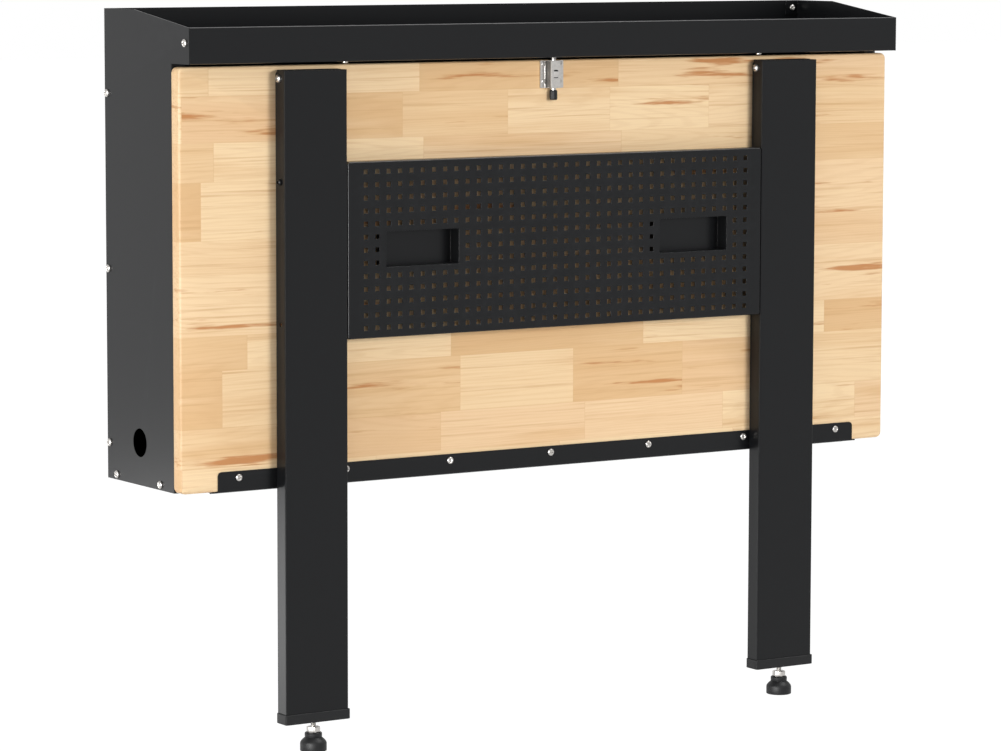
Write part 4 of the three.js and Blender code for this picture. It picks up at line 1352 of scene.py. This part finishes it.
    def bridge(self) -> None:
        """Builds the pressed loop that shows in the housing's window, and the painted-shade films of the
        slits beside it.
        """
        low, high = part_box("latch_housing")
        middle, reach = (low.z + high.z) / 2.0, self.bridge_height / 2.0
        form = bmesh.new()
        layers = []
        for depth in (0.0, self.bridge_sheet):
            layer = []
            for k in range(self.arc_steps + 1):
                share = k / self.arc_steps
                y = low.y - self.bridge_bulge * math.sin(math.pi * share) + depth
                x = (share - 0.5) * self.bridge_width
                layer.append([form.verts.new((x, y, middle + rise)) for rise in (-reach, reach)])
            layers.append(layer)
        front, back = layers
        for layer in layers:
            for first, second in zip(layer, layer[1:]):
                form.faces.new((first[0], second[0], second[1], first[1]))
        for first, second, third, fourth in zip(front, front[1:], back, back[1:]):
            for k in (0, 1):
                form.faces.new((first[k], second[k], fourth[k], third[k]))
        for k in (0, -1):
            form.faces.new((front[k][0], front[k][1], back[k][1], back[k][0]))
        mesh = MeshKit.finish("latch_loop", form, Matrix.Identity(4))
        self.shop.add("latch_loop", mesh, ZINC, "worktop")
        self.slit("latch_upper_slit_painted_shade", low.y, middle + reach, self.upper_slit)
        self.slit("latch_lower_slit_painted_shade", low.y, middle - reach, self.lower_slit)

    def channel(self) -> None:
        """Builds painted shade, a dark strip on the housing's left wall and on the plate beside it, and the
        pressed bead beside the wall.
        """
        low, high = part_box("latch_housing")
        front, foot, film = low.y + self.channel_setback, high.y - self.sheet, self.film
        edge, inside, outside = self.wall_x - self.painted_shade_width, self.wall_x + film, self.wall_x - film
        corner = [
            (inside, foot + film), (edge, foot + film), (edge, foot - film), (outside, foot - film),
            (outside, front), (inside, front),
        ]
        bottom, top = low.z + self.channel_inset, high.z - self.channel_inset
        mesh = MeshKit.prism("latch_painted_shade_corner", corner, bottom, top, Matrix.Identity(4), self.film_ease)
        # Painted shade: a dark zinc film on the wall and the plate where they lie in shade
        self.shop.add("latch_painted_shade_corner", mesh, PAINTED_SHADE_ZINC, "worktop")
        wall = MeshKit.eased_wall(self.bead_radius, bottom, top, self.bead_ease)
        place = Matrix.Translation((edge - self.bead_radius, foot, 0.0))
        mesh = MeshKit.turned("latch_bead", [(0.0, bottom), *wall, (0.0, top)], place, self.bead_sides)
        self.shop.add("latch_bead", mesh, ZINC, "worktop")

    def slit(self, name: str, face: float, base: float, height: float) -> None:
        """Builds a thin dark film on the housing's face, painted shade that stands for the arched opening
        above or below the pressed loop.

        Args:
            name: Name of the piece.
            face: Place of the housing's front face.
            base: Height of the loop's edge.
            height: Height of the opening, negative below the loop.
        """
        half, film = self.bridge_width / 2.0, self.film
        angles = [math.pi * k / self.arc_steps for k in range(self.arc_steps + 1)]
        arch = [(half * math.cos(angle), height * math.sin(angle) ** 0.5) for angle in angles]
        place = Matrix.Translation((0.0, face - film, base)) @ Matrix.Rotation(math.pi / 2.0, 4, "X")
        outline = arch if height > 0.0 else arch[::-1]
        mesh = MeshKit.prism(name, outline, -film, film, place, self.film_ease)
        # Painted shade: the black film stands in for the shaded opening
        self.shop.add(name, mesh, OXIDE, "worktop")


@dataclass
class PegSheet:
    """Perforated panel: a shallow pan with square holes and two pocket openings."""

    shop: Shop
    sheet: float = 1.2 * MM
    bend: float = 2.0 * MM
    depth: float = 21.5 * MM
    hole: float = 6.5 * MM
    pitch_x: float = 18.5 * MM
    pitch_z: float = 18.13 * MM
    columns: int = 36
    rows: int = 13
    pocket_width: float = 119.6 * MM
    pocket_height: float = 49.4 * MM
    pocket_offset: float = 231.2 * MM
    pocket_land: float = 9.45 * MM
    bend_steps: int = 5
    ease: float = 0.22 * MM
    ease_angle: float = math.radians(40.0)
    ease_steps: int = 2
    flat_weight: int = 80
    sharp_angle: float = 60.0
    least_gap: float = 0.1 * MM

    def build(self) -> None:
        """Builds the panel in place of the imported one."""
        low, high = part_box("perforated_panel")
        middle = (low + high) / 2.0
        half_x = (high.x - low.x) / 2.0 - self.bend
        half_z = (high.z - low.z) / 2.0 - self.bend
        form = bmesh.new()
        grid = self.face(form, half_x, half_z)
        self.flanges(form, grid)
        place = Matrix.Translation((middle.x, low.y, middle.z))
        mesh = MeshKit.finish("perforated_panel_detailed", form, place, self.sharp_angle)
        self.face_front(mesh)
        piece = self.shop.add("perforated_panel_detailed", mesh, COAT, "leg_frame", ["perforated_panel"])
        thick = piece.modifiers.new("thickness", "SOLIDIFY")
        thick.thickness = self.sheet
        thick.offset = -1.0
        ease = piece.modifiers.new("ease", "BEVEL")
        ease.width = self.ease
        ease.segments = self.ease_steps
        ease.limit_method = "ANGLE"
        ease.angle_limit = self.ease_angle
        normals = piece.modifiers.new("flat_faces", "WEIGHTED_NORMAL")
        normals.weight = self.flat_weight

    @staticmethod
    def face_front(mesh: bpy.types.Mesh) -> None:
        """Turns the sheet's normals to the front.

        Args:
            mesh: The panel's open sheet.
        """
        if sum(face.normal.y * face.area for face in mesh.polygons) > 0.0:
            mesh.flip_normals()

    @staticmethod
    def row(count: int, pitch: float) -> list[float]:
        """Centres of a row of holes.

        Args:
            count: Number of holes.
            pitch: Distance between them.

        Returns:
            Their places.
        """
        return [(i - (count - 1) / 2.0) * pitch for i in range(count)]

    def clear(self, x: float, z: float) -> bool:
        """Whether a hole keeps clear of both pockets.

        Args:
            x: Place along the panel.
            z: Height on the panel.

        Returns:
            True if the hole is punched.
        """
        across = abs(abs(x) - self.pocket_offset) > self.pocket_width / 2.0 + self.pocket_land
        return across or abs(z) > self.pocket_height / 2.0 + self.pocket_land

    def cuts(self, centres: Iterable[float], end: float, extra: Iterable[float]) -> list[float]:
        """Grid lines along one axis.

        Args:
            centres: Hole centres.
            end: Half length of the flat.
            extra: Further lines.

        Returns:
            Sorted lines, with none closer than the least gap.
        """
        lines = [-end, end, *extra]
        for centre in centres:
            lines += [centre - self.hole / 2.0, centre + self.hole / 2.0]
        kept: list[float] = []
        for line in sorted(lines):
            if not kept or line - kept[-1] > self.least_gap:
                kept.append(line)
        return kept

    def is_open(self, x: float, z: float) -> bool:
        """Whether a point of the flat lies in a hole or a pocket.

        Args:
            x: Place along the panel.
            z: Height on the panel.

        Returns:
            True if there is no sheet.
        """
        half = self.pocket_width / 2.0, self.pocket_height / 2.0
        if abs(abs(x) - self.pocket_offset) < half[0] and abs(z) < half[1]:
            return True
        column = round(x / self.pitch_x + (self.columns - 1) / 2.0) - (self.columns - 1) / 2.0
        line = round(z / self.pitch_z + (self.rows - 1) / 2.0) - (self.rows - 1) / 2.0
        centre = column * self.pitch_x, line * self.pitch_z
        near = abs(x - centre[0]) < self.hole / 2.0 and abs(z - centre[1]) < self.hole / 2.0
        inside = abs(column) < self.columns / 2.0 and abs(line) < self.rows / 2.0
        return near and inside and self.clear(*centre)

    def face(self, form: Form, half_x: float, half_z: float) -> list[list]:
        """Builds the flat face as a grid with open cells.

        Args:
            form: The bmesh.
            half_x: Half length of the flat.
            half_z: Half height of the flat.

        Returns:
            Grid of vertices, by column and row.
        """
        offset, wide, tall = self.pocket_offset, self.pocket_width / 2.0, self.pocket_height / 2.0
        pocket_x = [sign * offset + side * wide for sign in (-1, 1) for side in (-1, 1)]
        lines_x = self.cuts(self.row(self.columns, self.pitch_x), half_x, pocket_x)
        lines_z = self.cuts(self.row(self.rows, self.pitch_z), half_z, [-tall, tall])
        grid = [[form.verts.new((x, 0.0, z)) for z in lines_z] for x in lines_x]
        for i in range(len(lines_x) - 1):
            for k in range(len(lines_z) - 1):
                x = (lines_x[i] + lines_x[i + 1]) / 2.0
                z = (lines_z[k] + lines_z[k + 1]) / 2.0
                if not self.is_open(x, z):
                    form.faces.new((grid[i][k], grid[i + 1][k], grid[i + 1][k + 1], grid[i][k + 1]))
        for vertex in [v for v in form.verts if not v.link_faces]:
            form.verts.remove(vertex)
        return grid

    def flanges(self, form: Form, grid: list[list]) -> None:
        """Folds a flange back from each edge of the flat, with open corners.

        Args:
            form: The bmesh.
            grid: Grid of the flat's vertices.
        """
        edges = (
            ([column[0] for column in grid], Vector((0.0, 0.0, -1.0))),
            ([column[-1] for column in grid], Vector((0.0, 0.0, 1.0))),
            (grid[0], Vector((-1.0, 0.0, 0.0))),
            (grid[-1], Vector((1.0, 0.0, 0.0))),
        )
        for line, outward in edges:
            previous = line
            for k in range(1, self.bend_steps + 1):
                angle = 0.5 * math.pi * k / self.bend_steps
                step = outward * (self.bend * math.sin(angle))
                step.y += self.bend * (1.0 - math.cos(angle))
                previous = self.strip(form, line, previous, step)
            end = outward * self.bend
            end.y += self.depth
            self.strip(form, line, previous, end)

    @staticmethod
    def strip(form: Form, line: list, previous: list, step: Vector) -> list:
        """Adds one strip of a flange.

        Args:
            form: The bmesh.
            line: The flat's edge.
            previous: Last row of the flange.
            step: Offset of the new row from the edge.

        Returns:
            The new row.
        """
        row = [form.verts.new(vertex.co + step) for vertex in line]
        for first, second, third, fourth in zip(previous, previous[1:], row, row[1:]):
            form.faces.new((first, second, fourth, third))
        return row


@dataclass
class LegFrame:
    """Two channel legs with the perforated panel, hand pockets, end caps and bolts."""

    shop: Shop
    ease: float = 0.4 * MM
    pocket_ease: float = 0.25 * MM
    cap_ease: float = 0.6 * MM
    spin: float = 15.0
    pivot_bolt: Fastener = Fastener(5.5 * MM, 4.0 * MM, 3.9 * MM, 9.5 * MM, Drive.SOCKET)
    leg_screw: Fastener = Fastener(4.5 * MM, 4.5 * MM, 2.9 * MM, 6.5 * MM, Drive.SOCKET)
    panel_bolt: Fastener = Fastener(5.0 * MM, 3.5 * MM, 2.9 * MM, 9.5 * MM, Drive.SOCKET)

    def build(self) -> None:
        """Dresses the sheets and builds the panel and the bolts."""
        PegSheet(self.shop).build()
        ways = {"left": (Facing.LEFT, Facing.RIGHT), "right": (Facing.RIGHT, Facing.LEFT)}
        for side, (outward, inward) in ways.items():
            self.shop.dress(f"{side}_leg", COAT, self.ease)
            self.shop.dress(f"{side}_grip_pocket", COAT, self.pocket_ease)
            self.shop.dress(f"{side}_leg_cap", PLASTIC, self.cap_ease)
            bolts = (
                ("outer_pivot_bolt", self.pivot_bolt, outward, ZINC),
                ("inner_pivot_bolt", self.pivot_bolt, inward, ZINC),
                ("leg_screw", self.leg_screw, outward, OXIDE),
                ("panel_bolt_1", self.panel_bolt, outward, ZINC),
                ("panel_bolt_2", self.panel_bolt, outward, ZINC),
            )
            for name, kind, facing, finish in bolts:
                replace_fastener(self.shop, f"{side}_{name}", kind, facing, self.spin, "leg_frame", finish)


@dataclass
class LevellingFoot:
    """Foot of one leg: a moulded pad, and a threaded stud with a hexagon."""

    shop: Shop
    side: str
    pad_radius: float = 18.7 * MM
    base_height: float = 12.0 * MM
    neck_radius: float = 12.2 * MM
    collar_height: float = 6.4 * MM
    collar_step: float = 0.8 * MM
    sole_recess: float = 0.6 * MM
    slope_bulge: float = 0.7 * MM
    slope_shares: tuple[float, ...] = (0.12, 0.25, 0.4, 0.55, 0.7, 0.85, 1.0)
    stud_radius: float = 3.7 * MM
    thread_pitch: float = 1.25 * MM
    thread_depth: float = 0.55 * MM
    thread_overlap: float = 1.0 * MM
    hexagon_flats: float = 17.0 * MM
    hexagon_height: float = 8.0 * MM
    hexagon_turn: float = math.radians(20.0)
    hexagon_ease: float = 0.7 * MM
    seat: float = 0.2 * MM
    socket_gap: float = 0.3 * MM
    socket_depth: float = 12.0 * MM
    pad_sides: int = 64
    stud_sides: int = 32

    def build(self) -> None:
        """Builds the pad, the hexagon and the stud."""
        body = f"{self.side}_foot"
        place, low, high = self.shop.upright(f"{body}_pad")
        self.shop.turn(f"{body}_pad", self.pad_profile(low, high), PLASTIC, body, self.pad_sides)
        hexagon_low = high + self.seat
        hexagon_high = hexagon_low + self.hexagon_height
        outline = MeshKit.circle(self.hexagon_flats / math.sqrt(3.0), 6, self.hexagon_turn)
        nut = MeshKit.prism(f"{body}_hexagon", outline, hexagon_low, hexagon_high, place, self.hexagon_ease)
        self.shop.add(f"{body}_hexagon", nut, ZINC, body, [f"{body}_stud"])
        _, stud_low, stud_high = self.shop.upright(f"{body}_stud")
        thread = self.thread_profile(stud_low, hexagon_high - self.thread_overlap, stud_high)
        stud = MeshKit.turned(f"{body}_stud_detailed", thread, place, self.stud_sides)
        self.shop.add(f"{body}_stud_detailed", stud, ZINC, body)

    def pad_profile(self, low: float, high: float) -> list[Pair]:
        """Profile of the moulded pad with its collar and socket.

        Args:
            low: Height of the sole.
            high: Height of the neck.

        Returns:
            Radius and height of each point.
        """
        base, collar = low + self.base_height, high - self.collar_height
        socket, floor = self.stud_radius + self.socket_gap, high - self.socket_depth
        groove = self.neck_radius - self.collar_step
        # Steps outward and upward in millimetres from the pad's or the neck's radius
        sole = ((-5.0, 0.6), (-4.0, 0.0), (-1.0, 0.0), (-0.3, 0.3), (0.0, 1.0))
        shoulder = ((0.0, -1.0), (-0.35, -0.2))
        ring = ((-0.2, 0.5), (0.0, 0.9))
        slope = []
        for share in self.slope_shares:
            bulge = self.slope_bulge * math.sin(math.pi * share)
            radius = self.pad_radius + (groove - self.pad_radius) * share + bulge
            slope.append((radius, base + (collar - base) * share))
        return [
            (0.0, low + self.sole_recess),
            *((self.pad_radius + out * MM, low + up * MM) for out, up in sole),
            *((self.pad_radius + out * MM, base + up * MM) for out, up in shoulder),
            *slope, (groove, collar + 0.3 * MM),
            *((self.neck_radius + out * MM, collar + up * MM) for out, up in ring),
            (self.neck_radius, high - 1.2 * MM), (self.neck_radius - 1.0 * MM, high),
            (socket, high), (socket, floor), (0.0, floor),
        ]

    def thread_profile(self, low: float, start: float, high: float) -> list[Pair]:
        """Profile of the stud, plain below the hexagon and threaded above it.

        Args:
            low: Lowest height.
            start: Height where the thread starts.
            high: Highest height.

        Returns:
            Radius and height of each point.
        """
        crest, root = self.stud_radius, self.stud_radius - self.thread_depth
        points = [(0.0, low), (crest, low), (crest, start)]
        turn = ((root, 0.4), (root, 0.55), (crest, 0.9), (crest, 1.0))
        for k in range(int((high - start) / self.thread_pitch) - 1):
            points += [(radius, start + (k + share) * self.thread_pitch) for radius, share in turn]
        return points + [(root, high), (0.0, high)]


@dataclass
class Studio:
    """Pale floor, soft lamps and a white surround."""

    floor_height: float = -1.3025
    floor_reach: float = 40.0
    floor_gloss: float = 0.9
    floor_specular: float = 0.1
    floor_glow: float = 1.12
    glow_share: float = 0.9
    surround: float = 1.0
    ambient: float = 0.32
    floor_tone: Colour = (0.9, 0.9, 0.9, 1.0)

    def build(self) -> None:
        """Builds the floor, the lamps and the world."""
        bpy.context.scene.view_settings.view_transform = "Standard"
        self.floor()
        self.world()
        self.lamp("key_lamp", (-5.0, -0.9, 0.5), (0.0, -0.1, -0.1), (1.2, 2.2), 150.0, Rays.ALL)
        self.lamp("front_lamp", (1.7, -5.5, 0.9), (0.5, -0.2, -0.1), (1.5, 1.5), 183.0, Rays.DIFFUSE)
        self.lamp("bend_lamp", (-4.2, -2.9, 0.2), (0.0, -0.2, -0.1), (1.4, 2.6), 420.0, Rays.GLOSSY)
        self.lamp("hem_lamp", (2.7, -0.9, 4.4), (0.0, -0.2, 0.3), (2.4, 1.0), 220.0, Rays.GLOSSY)
        self.lamp("flank_lamp", (-1.3, 1.05, -0.76), (-0.45, -0.23, -0.5), (0.55, 0.42), 2.6, Rays.GLOSSY)

    def floor(self) -> None:
        """Builds the floor: white to the camera, with soft shadows, and clear from below."""
        form = bmesh.new()
        bmesh.ops.create_grid(form, x_segments=1, y_segments=1, size=self.floor_reach)
        mesh = bpy.data.meshes.new("studio_floor")
        form.to_mesh(mesh)
        form.free()
        floor = bpy.data.objects.new("studio_floor", mesh)
        floor.location.z = self.floor_height
        bpy.context.scene.collection.objects.link(floor)
        material = bpy.data.materials.new("studio_floor_paint")
        material.use_nodes = True
        sheet = NodeSheet(material.node_tree)
        shader = material.node_tree.nodes["Principled BSDF"]
        shader.inputs["Base Color"].default_value = self.floor_tone
        shader.inputs["Roughness"].default_value = self.floor_gloss
        shader.inputs["Specular IOR Level"].default_value = self.floor_specular
        strength = self.floor_glow * self.surround
        glow = sheet.add("ShaderNodeEmission", {"Color": WHITE, "Strength": strength})
        share = sheet.math("MULTIPLY", self.seen(sheet), self.glow_share)
        mixed = sheet.add("ShaderNodeMixShader", {0: share, 1: shader.outputs[0], 2: glow.outputs[0]})
        under = sheet.add("ShaderNodeNewGeometry").outputs["Backfacing"]
        clear = sheet.add("ShaderNodeBsdfTransparent").outputs[0]
        below = sheet.add("ShaderNodeMixShader", {0: under, 1: mixed.outputs[0], 2: clear})
        sheet.feed(material.node_tree.nodes["Material Output"].inputs[0], below.outputs[0])
        mesh.materials.append(material)

    @staticmethod
    def seen(sheet: NodeSheet) -> Socket:
        """Mask of rays that see the surround directly, in a reflection or through glass.

        Args:
            sheet: Node tree.

        Returns:
            The mask.
        """
        path = sheet.add("ShaderNodeLightPath")
        direct = sheet.math("MAXIMUM", path.outputs["Is Camera Ray"], path.outputs["Is Glossy Ray"])
        return sheet.math("MAXIMUM", direct, path.outputs["Is Transmission Ray"])

    def world(self) -> None:
        """Builds a world that is white to the eye and softer as light."""
        world = bpy.data.worlds.new("studio_world")
        bpy.context.scene.world = world
        world.use_nodes = True
        sheet = NodeSheet(world.node_tree)
        strength = sheet.ramp(self.seen(sheet), 0.0, 1.0, self.ambient, self.surround)
        ground = world.node_tree.nodes["Background"]
        ground.inputs["Color"].default_value = WHITE
        sheet.feed(ground.inputs["Strength"], strength)

    @staticmethod
    def lamp(name: str, place: Triple, target: Triple, size: Pair, power: float, rays: Rays) -> None:
        """Adds a rectangular area lamp.

        Args:
            name: Name of the lamp.
            place: Where it stands.
            target: Point that it faces.
            size: Its width and height.
            power: Power in watts.
            rays: Kinds of ray that it acts on.
        """
        data = bpy.data.lights.new(name, "AREA")
        data.shape = "RECTANGLE"
        data.size, data.size_y = size
        data.energy = power
        lamp = bpy.data.objects.new(name, data)
        lamp.location = place
        lamp.visible_diffuse, lamp.visible_glossy = rays.value
        lamp.rotation_mode = "QUATERNION"
        lamp.rotation_quaternion = (Vector(target) - Vector(place)).to_track_quat("-Z", "Y")
        bpy.context.scene.collection.objects.link(lamp)


@dataclass(frozen=True)
class ViewCamera:
    """Camera at the photograph's viewing angle."""

    place: Triple = (-3.2616, -5.1689, 0.4598)
    yaw: float = 32.693
    pitch: float = 6.345
    roll: float = 0.111
    lens: float = 149.2
    sensor: float = 36.0
    far: float = 200.0

    def build(self) -> None:
        """Builds the camera and makes it the scene's."""
        yaw, pitch, roll = (math.radians(a) for a in (self.yaw, self.pitch, self.roll))
        ahead = Vector((math.sin(yaw) * math.cos(pitch), math.cos(yaw) * math.cos(pitch), -math.sin(pitch)))
        level = Vector((math.cos(yaw), -math.sin(yaw), 0.0))
        up = level.cross(ahead)
        right = level * math.cos(roll) + up * math.sin(roll)
        over = up * math.cos(roll) - level * math.sin(roll)
        turn = Matrix((right, over, -ahead)).transposed().to_4x4()
        data = bpy.data.cameras.new("view_camera")
        data.sensor_width = self.sensor
        data.lens = self.lens
        data.clip_end = self.far
        camera = bpy.data.objects.new("view_camera", data)
        camera.matrix_world = Matrix.Translation(self.place) @ turn
        bpy.context.scene.collection.objects.link(camera)
        bpy.context.scene.camera = camera


def main() -> None:
    """Builds the bench's looks, its studio and its camera."""
    logging.basicConfig(level=logging.INFO, format="%(message)s")
    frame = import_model()
    shop = Shop(frame)
    ViewCamera().build()
    Studio().build()
    WallCabinet(shop).build()
    Worktop(shop).build()
    SpringLatch(shop).build()
    LegFrame(shop).build()
    for side in ("left", "right"):
        LevellingFoot(shop, side).build()
    LOG.info("%d new pieces", len(shop.made))


if __name__ == "__main__":
    main()
